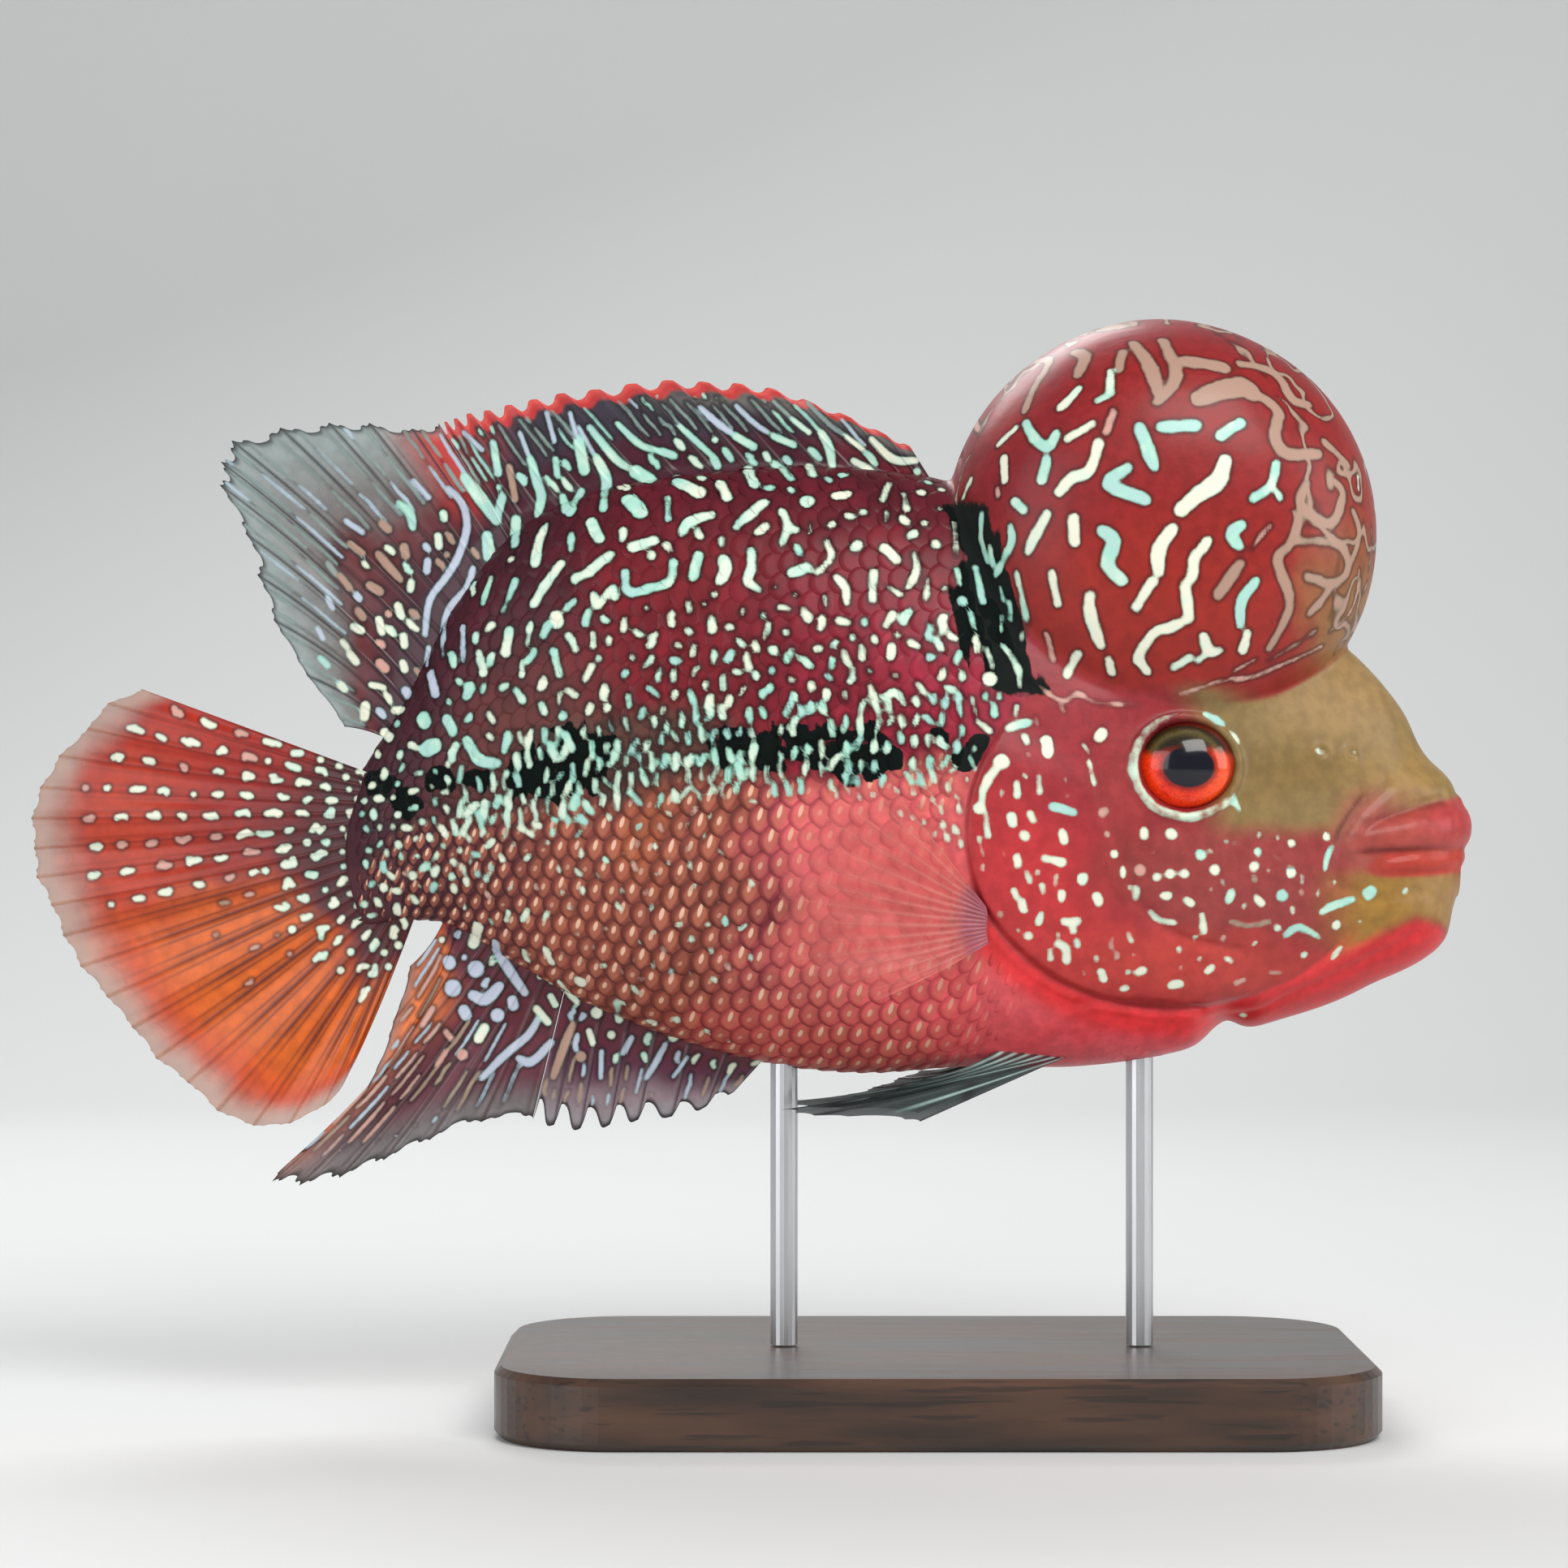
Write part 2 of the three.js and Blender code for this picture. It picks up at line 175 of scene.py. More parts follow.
class Strokes:
    """Signed distance to a set of soft strokes in 3-D, and the tint of the nearest, on the body's grid."""

    def __init__(self, reach=2.0):
        self.reach = reach
        self.d = np.full(DIM, 3.0, F32)
        self.t = np.zeros(DIM, F32)

    def seg(self, p, q, ra, rb, tint):
        p, q = np.asarray(p, float), np.asarray(q, float)
        m = max(ra, rb) + self.reach
        lo = np.floor((np.minimum(p, q) - m - LOW) / VOX).astype(int)
        hi = np.ceil((np.maximum(p, q) + m - LOW) / VOX).astype(int) + 1
        lo, hi = np.maximum(lo, 0), np.minimum(hi, DIM)
        if (hi <= lo).any():
            return
        sl = tuple(slice(a, b) for a, b in zip(lo, hi))
        x, y, z = X3[sl[0]] - p[0], Y3[:, sl[1]] - p[1], Z3[:, :, sl[2]] - p[2]
        d = q - p
        t = np.clip((x * d[0] + y * d[1] + z * d[2]) / max(1e-6, float(d @ d)), 0, 1).astype(F32)
        r = np.sqrt((x - t * d[0]) ** 2 + (y - t * d[1]) ** 2 + (z - t * d[2]) ** 2) - (ra + (rb - ra) * t)
        cur = self.d[sl]
        near = r < cur
        cur[near] = r[near]
        self.t[sl][near] = tint

    def chain(self, pts, radius, tint, taper=0.25):
        n = len(pts)
        if n == 1:
            return self.seg(pts[0], pts[0], radius, radius, tint)
        prof = lambda k: radius * (1 - taper * abs(2 * k / (n - 1) - 1) ** 2)
        for k in range(n - 1):
            self.seg(pts[k], pts[k + 1], prof(k), prof(k + 1), tint)


# ------------------------------------------------------------------ the body as a distance field
T_ = np.linspace(0, len(STATIONS) - 1, 1601)
C_ = along(STATIONS, T_)


def station(x):
    return [np.interp(x, C_[:, 0], C_[:, k]) for k in (1, 2, 3, 4)]


def blend_min(a, b, k):
    h = np.maximum(k - np.abs(a - b), 0) / k
    return np.minimum(a, b) - h * h * (k / 4)


def flesh():
    top, bottom, mid, half = [v.astype(F32) for v in station(GX)]
    u2 = (AY / half[:, None, None]) ** 2
    dz = Z3 - mid[:, None, None]
    up = dz > 0
    h = np.where(up, (top - mid)[:, None, None], (mid - bottom)[:, None, None])
    q = np.where(up, F32(UP_POW), F32(LOW_POW))
    v = np.abs(dz) / h
    vq = v**q
    g = u2 + vq
    gy = 2 * AY / (half[:, None, None] ** 2)
    gz = q * v ** (q - 1) / h
    d = (g - 1) / np.sqrt(gy**2 + gz**2 + 1e-4)
    d = np.clip(d, -12, 6)
    d = np.maximum(d, np.maximum(X3 - 91.5, -102.4 + 3.4 * np.minimum(((Z3 - 98) / 12.5) ** 2, 1.0) - X3))
    # chin
    e = np.sqrt(((X3 - 76.6) / 15.4) ** 2 + (AY / 11.2) ** 2 + ((Z3 - 88.2) / 10.2) ** 2)
    d = blend_min(d, (e - 1) * 10.5, 4.0)
    # nose, with the fold of skin over the upper lip
    e = np.sqrt(((X3 - 81.5) / 9.2) ** 2 + (AY / 9.4) ** 2 + ((Z3 - 108.5) / 6.6) ** 2)
    d = blend_min(d, (e - 1) * 7.0, 3.0)
    # hump
    r2 = np.sqrt(((X3 - HUMP["x"]) / HUMP["rx"]) ** 2 + ((Z3 - HUMP["z"]) / HUMP["rz"]) ** 2) + 1e-4
    n = HUMP["power"]
    rn = r2**n
    f = rn + (AY / HUMP["ry"]) ** 2 - 1
    gr = n * r2 ** (n - 1) / HUMP["rx"]
    gy = 2 * AY / HUMP["ry"] ** 2
    hump = np.clip(f / np.sqrt(gr**2 + gy**2 + 1e-4), -12, 6)
    d = blend_min(d, hump, 1.1)
    return d.astype(F32), hump.astype(F32)


BODY, HUMP_D = flesh()


def gill_place(x, z):
    """Elliptic distance from the gill cover's middle, and how much of the free edge there is in that direction."""
    ex, ez = (x - GILL["x"]) / GILL["rx"], (z - GILL["z"]) / GILL["rz"]
    e = np.sqrt(ex**2 + ez**2)
    ang = np.degrees(np.arctan2(ez, ex)) % 360
    free = smooth(138, 158, ang) * (1 - smooth(280, 300, ang))
    return e, free


E2, FREE2 = gill_place(GX[:, None], GZ[None, :])
OUT2 = (E2 - 1) * 33
LIFT2 = FREE2 * (1 - smooth(-0.7, 0.25, OUT2)) * (1 - 0.9 * smooth(0, 22, -OUT2)) * 1.35
RIM2 = FREE2 * np.exp(-(((OUT2 - 1.6) / 0.8) ** 2)) * 0.32
SIDEWAYS = smooth(3.0, 11.0, AY)
BODY -= ((LIFT2 + RIM2)[:, None, :] * SIDEWAYS).astype(F32)
# brow over the eye, cheek fullness, hollow in front of the eye
BODY -= (0.9 * np.exp(-(((X3 - 42) / 12) ** 2) - ((Z3 - 124.5) / 3.4) ** 2) * SIDEWAYS).astype(F32)
BODY -= (1.0 * np.exp(-(((X3 - 50) / 13) ** 2) - ((Z3 - 92) / 8.5) ** 2) * SIDEWAYS).astype(F32)
BODY += (1.0 * np.exp(-(((X3 - 63) / 9) ** 2) - ((Z3 - 110) / 6) ** 2) * SIDEWAYS).astype(F32)


# straighter slope above the nose
BODY += (2.6 * np.exp(-(((X3 - 86.5) / 5.5) ** 2) - ((Z3 - 116.5) / 5.0) ** 2)).astype(F32)
# chin drawn in under the lip
BODY += (1.5 * np.exp(-(((X3 - 92.5) / 4.5) ** 2) - ((Z3 - 87.5) / 5.0) ** 2)).astype(F32)
# the notch of the throat behind the jaw
BODY += (3.0 * np.exp(-(((X3 - 50.5) / 3.4) ** 2)) * smooth(76, 67, Z3)).astype(F32)


def half_width(field):
    """For each x, z the distance from the middle plane to the skin."""
    k0 = DIM[1] // 2
    f = field[:, k0:, :]
    inside = f < 0
    n = inside.sum(1)
    n = np.clip(n, 0, f.shape[1] - 1)
    ii, kk = np.meshgrid(np.arange(DIM[0]), np.arange(DIM[2]), indexing="ij")
    a = f[ii, np.maximum(n - 1, 0), kk]
    b = f[ii, n, kk]
    t = np.where(n > 0, a / np.minimum(a - b, -1e-6), 0)
    return (np.where(n > 0, (n - 1 + np.clip(t, 0, 1)) * VOX, 0)).astype(F32)


WIDE = half_width(BODY)


def width_at(x, z):
    q0 = np.clip((np.asarray(x, float) - LOW[0]) / VOX, 0, DIM[0] - 1.001)
    q1 = np.clip((np.asarray(z, float) - LOW[2]) / VOX, 0, DIM[2] - 1.001)
    i, k = q0.astype(int), q1.astype(int)
    a, b = q0 - i, q1 - k
    w = WIDE
    return (
        w[i, k] * (1 - a) * (1 - b) + w[i + 1, k] * a * (1 - b) + w[i, k + 1] * (1 - a) * b + w[i + 1, k + 1] * a * b
    )


def lift(px, py, s=-1):
    """From the side outline's units to the skin on side s (-1 is the fish's right)."""
    x0, z0 = side(px, py)
    x, z = x0, z0
    for _ in range(4):
        w = width_at(x, z)
        f = 1 - w / 800.0
        x, z = VIEW[0] + (x0 - VIEW[0]) * f, VIEW[2] + (z0 - VIEW[2]) * f
    return np.stack([x, s * w, z], -1)


# ------------------------------------------------------------------ grooves, lips, eye sockets
def groove(pts, depth, width, s):
    st = Strokes(3 * width)
    line = np.array([lift(a, b, s) for a, b in pts])
    st.chain(list(line), 0.01, 0, 0)
    return (depth * np.exp(-((np.maximum(st.d, 0) / width) ** 2)) * (st.d < 2.9)).astype(F32)


def lip(front, back, half, z_front, z_corner, thick, high):
    """Distance to a soft roll round the jaws."""
    n = 24
    t = np.linspace(-1, 1, n + 1)
    k = 1 - 0.56 * np.abs(t) ** 1.5
    c = np.stack([front - (front - back) * t * t, half * np.sin(t * np.pi / 2), z_front + (z_corner - z_front) * t * t], -1)
    d = np.full(DIM, 6.0, F32)
    x0 = int((62 - LOW[0]) / VOX)
    xs = X3[x0:]
    for i in range(n):
        p, q = c[i], c[i + 1]
        v = q - p
        tt = np.clip(((xs - p[0]) * v[0] + (Y3 - p[1]) * v[1]) / (v[0] ** 2 + v[1] ** 2), 0, 1)
        kk = k[i] + (k[i + 1] - k[i]) * tt
        dx, dy, dz = xs - p[0] - tt * v[0], Y3 - p[1] - tt * v[1], Z3 - p[2] - tt * v[2]
        r = np.sqrt((dx**2 + dy**2) / thick**2 + dz**2 / high**2)
        d[x0:] = np.minimum(d[x0:], (r - kk) * min(thick, high))
    return d


UP_LIP = lip(90.4, 71.5, 12.6, 102.5, 100.1, 3.5, 4.7)
LOW_LIP = lip(89.8, 74.2, 11.8, 97.4, 95.6, 2.9, 2.6)
LIPS = np.minimum(UP_LIP, LOW_LIP)
for s in (-1, 1):
    BODY += groove([(1345, 915), (1360, 1000), (1388, 1060), (1400, 1112), (1452, 1155), (1530, 1172)], 0.55, 0.8, s)
    BODY += groove([(1712, 968), (1678, 1000), (1655, 1035), (1648, 1080)], 0.8, 0.9, s)
    BODY += groove([(1640, 1085), (1690, 1110), (1760, 1098)], 0.45, 0.9, s)
    BODY += groove([(1778, 984), (1745, 992), (1712, 1004), (1684, 1022)], 0.8, 0.7, s)
    BODY += groove([(1515, 1262), (1470, 1240), (1400, 1236), (1330, 1236)], 0.5, 1.0, s)
    BODY += groove([(1185, 560), (1200, 640), (1222, 740), (1262, 846)], 0.5, 0.8, s)
    BODY += groove([(1172, 640), (1186, 730), (1215, 835)], 0.45, 0.7, s)
    BODY += groove([(1530, 1250), (1600, 1222), (1680, 1186), (1745, 1150)], 0.4, 1.0, s)
    # eye: a soft lid ring, with the socket sunk inside it
    ex, ez = (X3 - EYE["x"]) / 8.15, (Z3 - EYE["z"]) / 7.6
    r = np.sqrt(ex**2 + ez**2)
    onside = smooth(8, 12, s * Y3)
    BODY -= (0.95 * np.exp(-(((r - 1.12) / 0.10) ** 2)) * onside).astype(F32)
    BODY += (3.2 * (1 - smooth(0.84, 1.04, r)) * onside).astype(F32)
    for a, b in ((1630, 926), (1666, 929)):
        p = lift(a, b, s)
        d = np.sqrt((X3 - p[0]) ** 2 + (Y3 - p[1]) ** 2 + (Z3 - p[2]) ** 2)
        BODY += (0.8 * np.exp(-((d / 0.75) ** 2))).astype(F32) - (0.35 * np.exp(-(((d - 1.3) / 0.5) ** 2))).astype(F32)

# slow unevenness of living flesh
coarse = np.stack(np.meshgrid(GX[::4], GY[::4], GZ[::4], indexing="ij"), -1)
swell = (noise(coarse, 17.0, 2, 1.0) - 0.5) * 0.7
swell = np.repeat(np.repeat(np.repeat(swell, 4, 0), 4, 1), 4, 2)[: DIM[0], : DIM[1], : DIM[2]]
swell = (swell + np.roll(swell, 2, 0) + np.roll(swell, 2, 1) + np.roll(swell, 2, 2)) / 4
BODY += swell.astype(F32) * 0.6
del swell, coarse
SKIN = blend_min(BODY, UP_LIP, 0.9)
SKIN = blend_min(SKIN, LOW_LIP, 0.7).astype(F32)

# ------------------------------------------------------------------ markings
CREAM, MIXED, MINT, LILAC, GREY, TAUPE, ROSE = 0.0, 0.17, 0.34, 0.42, 0.5, 0.67, 1.0
# Strokes on the hump: tint, width, then points, on a sheet of 2.8 units to one of the outline's, starting at 1150, 380.
HUMP_MARKS = [
    (TAUPE, 20, 270, 250, 290, 210, 400, 178, 352, 270, 318, 352), (TAUPE, 26, 490, 150, 525, 168, 500, 230),
    (CREAM, 30, 500, 280, 440, 345), (MINT, 30, 322, 395, 348, 445, 395, 478, 425, 430), (CREAM, 22, 285, 415, 225, 470),
    (CREAM, 27, 550, 397, 465, 447), (MIXED, 24, 612, 215, 608, 290, 570, 315), (ROSE, 25, 620, 355, 597, 425),
    (CREAM, 33, 570, 465, 540, 556, 478, 585, 435, 632), (CREAM, 28, 245, 515, 247, 590), (MINT, 36, 390, 518, 375, 590),
    (MINT, 38, 672, 547, 608, 605, 730, 660), (MINT, 37, 713, 408, 740, 480, 762, 545), (MINT, 44, 790, 407, 905, 402),
    (MINT, 36, 1062, 395, 992, 440), (CREAM, 43, 1008, 525, 985, 590, 915, 642, 850, 698), (MINT, 27, 1185, 535, 1165, 608, 1105, 655),
    (MINT, 22, 1165, 610, 1198, 652), (MIXED, 33, 282, 666, 312, 692), (MINT, 28, 165, 710, 160, 790, 180, 870),
    (MINT, 22, 265, 750, 268, 812, 215, 920), (CREAM, 34, 392, 710, 328, 835), (CREAM, 37, 485, 722, 488, 800),
    (MINT, 38, 585, 768, 622, 800, 600, 880, 652, 938), (CREAM, 36, 828, 755, 780, 830, 778, 905),
    (CREAM, 31, 950, 800, 902, 860, 895, 918, 872, 962, 885, 1065), (CREAM, 29, 885, 1070, 820, 1100, 760, 1122, 708, 1200, 738, 1252),
    (MINT, 34, 1065, 748, 1030, 778, 1060, 820), (ROSE, 14, 1160, 750, 1100, 826), (CREAM, 27, 410, 912, 430, 1018),
    (CREAM, 34, 545, 988, 540, 1045, 577, 1160), (CREAM, 34, 758, 940, 700, 1032), (TAUPE, 27, 1060, 880, 985, 985),
    (MINT, 29, 1115, 940, 1065, 1010, 1060, 1090), (CREAM, 31, 1085, 1120, 1070, 1180), (MIXED, 21, 290, 915, 316, 1040, 306, 1140),
    (ROSE, 19, 390, 1125, 416, 1212), (CREAM, 31, 500, 1190, 460, 1260), (CREAM, 27, 605, 1210, 616, 1256),
    (CREAM, 30, 935, 1130, 952, 1182, 985, 1180), (CREAM, 26, 952, 1184, 915, 1215), (CREAM, 30, 885, 1205, 830, 1237),
    (MIXED, 18, 240, 1160, 290, 1230, 302, 1300), (CREAM, 18, 185, 1170, 206, 1232), (CREAM, 40, 195, 1278),
    (TAUPE, 26, 655, 150, 640, 210), (TAUPE, 28, 690, 120, 750, 205, 778, 300), (TAUPE, 26, 792, 110, 840, 235, 770, 320),
    (TAUPE, 38, 870, 180, 1000, 202), (TAUPE, 46, 920, 308, 1060, 268, 1105, 292), (TAUPE, 24, 1060, 190, 1180, 222, 1240, 312, 1300, 330),
    (TAUPE, 26, 1110, 290, 1190, 352, 1180, 440, 1222, 500, 1330, 500), (TAUPE, 22, 1290, 600, 1270, 680, 1370, 742, 1412, 640, 1380, 592),
    (TAUPE, 21, 1270, 680, 1240, 800, 1190, 870, 1232, 1000, 1212, 1080, 1160, 1172), (TAUPE, 20, 1240, 802, 1400, 812, 1432, 900, 1380, 950, 1290, 922),
    (TAUPE, 18, 1432, 900, 1470, 780, 1450, 700), (TAUPE, 18, 1380, 950, 1340, 1010, 1300, 1052), (ROSE, 14, 1470, 900, 1450, 1030, 1370, 1112),
    (ROSE, 12, 1510, 760, 1502, 900), (TAUPE, 22, 1350, 460, 1430, 540), (CREAM, 15, 1465, 580, 1466, 622),
    (ROSE, 13, 340, 1280, 440, 1352, 500, 1330, 560, 1360, 715, 1366), (ROSE, 13, 850, 1330, 1000, 1282, 1100, 1272, 1200, 1230, 1340, 1165),
    (ROSE, 12, 1040, 1250, 1112, 1210), (TAUPE, 12, 1160, 1212, 1320, 1110), (ROSE, 20, 90, 410, 130, 386, 160, 420),
    (CREAM, 23, 130, 590, 100, 652), (CREAM, 17, 75, 740, 80, 850), (ROSE, 18, 220, 620, 226, 642), (MINT, 15, 82, 900, 92, 950),
    (MINT, 19, 102, 1010), (MINT, 16, 128, 1050, 142, 1102), (MINT, 17, 148, 890, 172, 1012), (MINT, 13, 232, 960, 242, 1002),
    (MINT, 13, 238, 1060, 236, 1112), (MINT, 15, 205, 880, 196, 820), (MINT, 12, 262, 1010, 268, 1075), (ROSE, 15, 480, 75, 530, 92),
]
# Spots on the cheek and gill cover, on a sheet of 2.45 units, starting at 1190, 850.
CHEEK_MARKS = [
    (MIXED, 33, 130, 116, 185, 96), (CREAM, 42, 245, 155, 248, 188), (CREAM, 40, 412, 126, 402, 142), (ROSE, 20, 190, 195),
    (CREAM, 15, 352, 160, 374, 186), (CREAM, 20, 372, 215, 380, 240, 392, 282), (CREAM, 42, 110, 216), (CREAM, 24, 102, 228, 62, 280, 46, 345),
    (CREAM, 34, 42, 356), (CREAM, 20, 60, 370, 70, 440), (CREAM, 27, 155, 282, 156, 322), (CREAM, 25, 220, 258, 225, 308),
    (MINT, 32, 262, 352, 325, 368), (ROSE, 17, 305, 320), (CREAM, 32, 138, 380, 142, 402), (CREAM, 28, 196, 372, 204, 392), (CREAM, 31, 180, 440),
    (CREAM, 34, 292, 428, 298, 456), (ROSE, 31, 418, 370), (ROSE, 20, 430, 436), (CREAM, 25, 450, 497), (CREAM, 25, 476, 540, 475, 558),
    (MIXED, 25, 516, 598, 514, 628), (CREAM, 32, 240, 508, 290, 520), (CREAM, 31, 155, 506, 157, 528), (CREAM, 24, 184, 550, 194, 574),
    (CREAM, 34, 353, 570), (CREAM, 26, 230, 590, 234, 612), (CREAM, 28, 290, 610, 290, 634), (CREAM, 34, 396, 624, 404, 642),
    (CREAM, 29, 170, 640, 176, 664), (CREAM, 27, 230, 676, 220, 702), (CREAM, 30, 296, 700, 322, 704), (CREAM, 30, 322, 704, 340, 694),
    (CREAM, 24, 322, 706, 325, 728), (CREAM, 29, 190, 741), (CREAM, 26, 275, 765, 300, 780, 304, 818), (CREAM, 36, 540, 426, 540, 440),
    (CREAM, 36, 622, 434), (ROSE, 30, 527, 543), (CREAM, 24, 578, 565), (CREAM, 28, 617, 556), (CREAM, 29, 660, 556), (MINT, 33, 712, 499),
    (CREAM, 31, 752, 543), (CREAM, 33, 600, 620, 612, 622), (CREAM, 29, 666, 632, 680, 642), (ROSE, 15, 703, 605), (ROSE, 17, 742, 603),
    (MIXED, 30, 804, 610, 794, 632), (CREAM, 29, 878, 624, 894, 644), (MINT, 36, 956, 620), (CREAM, 32, 870, 532), (MINT, 25, 882, 488),
    (CREAM, 29, 985, 465), (CREAM, 32, 982, 550), (CREAM, 15, 1016, 560, 1014, 582), (TAUPE, 22, 872, 570), (ROSE, 15, 565, 490), (ROSE, 13, 656, 492),
    (CREAM, 21, 556, 670, 590, 700, 630, 702), (CREAM, 28, 715, 682, 720, 730), (TAUPE, 19, 800, 700, 850, 711, 915, 700),
    (CREAM, 28, 408, 850, 418, 872), (CREAM, 34, 524, 852, 534, 846), (CREAM, 26, 474, 902, 484, 900), (CREAM, 36, 622, 890, 644, 888),
    (CREAM, 34, 734, 846, 742, 842), (CREAM, 22, 786, 812, 802, 818), (ROSE, 22, 820, 884, 840, 876), (ROSE, 18, 922, 853, 948, 854),
    (ROSE, 17, 458, 796, 454, 812), (CREAM, 22, 838, 985), (CREAM, 23, 1090, 440), (MINT, 20, 1106, 474, 1090, 510, 1086, 544),
    (CREAM, 17, 1118, 580), (MINT, 25, 1075, 672, 1120, 648, 1170, 632), (MINT, 42, 1222, 612), (MINT, 24, 962, 742, 1010, 716, 1065, 746),
    (CREAM, 29, 1120, 710), (CREAM, 24, 1132, 780, 1112, 806), (CREAM, 27, 1022, 800), (CREAM, 24, 1330, 610), (CREAM, 15, 20, 22, 30, 70),
    (CREAM, 20, 36, 95, 74, 124), (CREAM, 19, 1062, 182, 1078, 188), (CREAM, 16, 1158, 192, 1176, 188), (MINT, 18, 12, 200, 30, 240),
    (CREAM, 16, 48, 480, 54, 496), (CREAM, 16, 112, 486, 120, 502), (ROSE, 14, 290, 52, 296, 66), (CREAM, 12, 830, 225), (TAUPE, 13, 940, 215),
    (TAUPE, 14, 812, 465), (TAUPE, 12, 930, 500, 990, 540), (CREAM, 16, 496, 596), (CREAM, 14, 735, 480, 742, 492), (MIXED, 14, 1192, 700),
]
# Larger strokes of the back and of the fin above it, on a sheet of 2.273 units, starting at 520, 460.
BACK_MARKS = [
    (MINT, 24, 470, 150, 540, 236, 575, 262), (MINT, 50, 600, 275, 642, 302), (MINT, 18, 720, 145, 780, 200, 815, 232), (MINT, 32, 818, 238, 828, 258),
    (MINT, 20, 548, 140, 610, 198, 660, 216), (MINT, 30, 672, 218, 706, 230), (LILAC, 20, 780, 95, 830, 140, 870, 168), (MINT, 30, 880, 176, 930, 205),
    (LILAC, 16, 880, 90, 930, 138, 970, 166), (MINT, 26, 985, 175, 1042, 200), (MIXED, 26, 1118, 165, 1140, 205, 1150, 258), (GREY, 14, 985, 78, 1030, 120),
    (MIXED, 20, 1040, 130, 1085, 165), (GREY, 14, 1080, 80, 1140, 140, 1180, 170), (CREAM, 20, 1190, 178, 1235, 212), (CREAM, 24, 1260, 185, 1320, 240, 1385, 243),
    (MIXED, 26, 1210, 245, 1255, 268), (LILAC, 16, 440, 150, 480, 222), (MINT, 30, 490, 236, 518, 300, 508, 380), (MINT, 42, 440, 190, 455, 270), (LILAC, 18, 415, 110, 432, 170),
    (LILAC, 18, 275, 165, 300, 230), (MINT, 28, 305, 240, 322, 300, 335, 345, 325, 395), (LILAC, 18, 350, 110, 372, 190), (MINT, 24, 375, 240, 380, 285),
    (MINT, 28, 200, 195, 215, 280), (LILAC, 18, 118, 165, 170, 214), (MINT, 36, 120, 290, 165, 350, 210, 412), (MINT, 32, 226, 345, 212, 400), (MINT, 26, 395, 345, 415, 392, 448, 330),
    (TAUPE, 26, 245, 262, 262, 352), (MIXED, 54, 718, 305, 778, 336), (MIXED, 38, 838, 308, 855, 350), (MINT, 58, 582, 355, 614, 388), (MINT, 26, 690, 350, 692, 410),
    (MIXED, 44, 914, 275, 932, 312), (MINT, 34, 990, 256, 1034, 296), (MIXED, 34, 1085, 264, 1095, 286), (MINT, 38, 265, 410, 262, 480), (MIXED, 34, 347, 430, 330, 470, 318, 532),
    (MINT, 26, 420, 450, 418, 495), (MIXED, 44, 475, 420, 495, 462), (MIXED, 26, 565, 440, 562, 465), (MIXED, 38, 592, 487, 650, 468), (MIXED, 34, 730, 446, 752, 415, 812, 398),
    (MIXED, 32, 880, 430, 920, 395, 965, 360), (MIXED, 26, 1010, 385, 1022, 430, 1008, 480), (MIXED, 26, 1045, 438), (MIXED, 42, 1080, 360), (CREAM, 12, 1090, 420, 1088, 446),
    (CREAM, 36, 1160, 346, 1192, 340), (CREAM, 24, 1310, 308, 1288, 356), (CREAM, 26, 1238, 390), (CREAM, 20, 1300, 388, 1302, 412), (CREAM, 24, 1350, 338, 1358, 382),
    (CREAM, 30, 1400, 335), (CREAM, 24, 1408, 420), (CREAM, 20, 1455, 325), (CREAM, 14, 1450, 380), (MIXED, 40, 185, 468, 192, 502), (CREAM, 24, 250, 520),
    (MIXED, 34, 430, 577, 480, 547, 530, 508), (MINT, 28, 570, 556, 580, 612, 640, 602, 695, 582, 706, 528), (MINT, 40, 775, 510, 760, 570), (MIXED, 34, 845, 518, 852, 550, 835, 582),
    (MIXED, 28, 922, 498, 926, 540, 914, 580, 946, 606), (MIXED, 42, 1040, 560, 1076, 544), (CREAM, 24, 1135, 472, 1146, 515, 1108, 560), (CREAM, 36, 1218, 485),
    (CREAM, 36, 1296, 490, 1332, 522), (CREAM, 22, 1380, 508, 1386, 550, 1364, 598), (CREAM, 30, 1440, 480), (CREAM, 26, 1160, 570, 1186, 600, 1190, 642), (CREAM, 28, 1266, 558, 1262, 632),
    (CREAM, 20, 1308, 598, 1342, 622), (CREAM, 22, 1418, 580, 1410, 632), (CREAM, 24, 1466, 600), (MIXED, 24, 480, 618, 494, 652, 534, 600, 542, 632), (CREAM, 22, 745, 638, 750, 668),
    (CREAM, 20, 820, 620), (MIXED, 18, 990, 598), (CREAM, 14, 1045, 620), (CREAM, 18, 1128, 625, 1132, 655), (CREAM, 13, 792, 645), (CREAM, 22, 1000, 655, 1030, 660), (CREAM, 14, 630, 655),
]
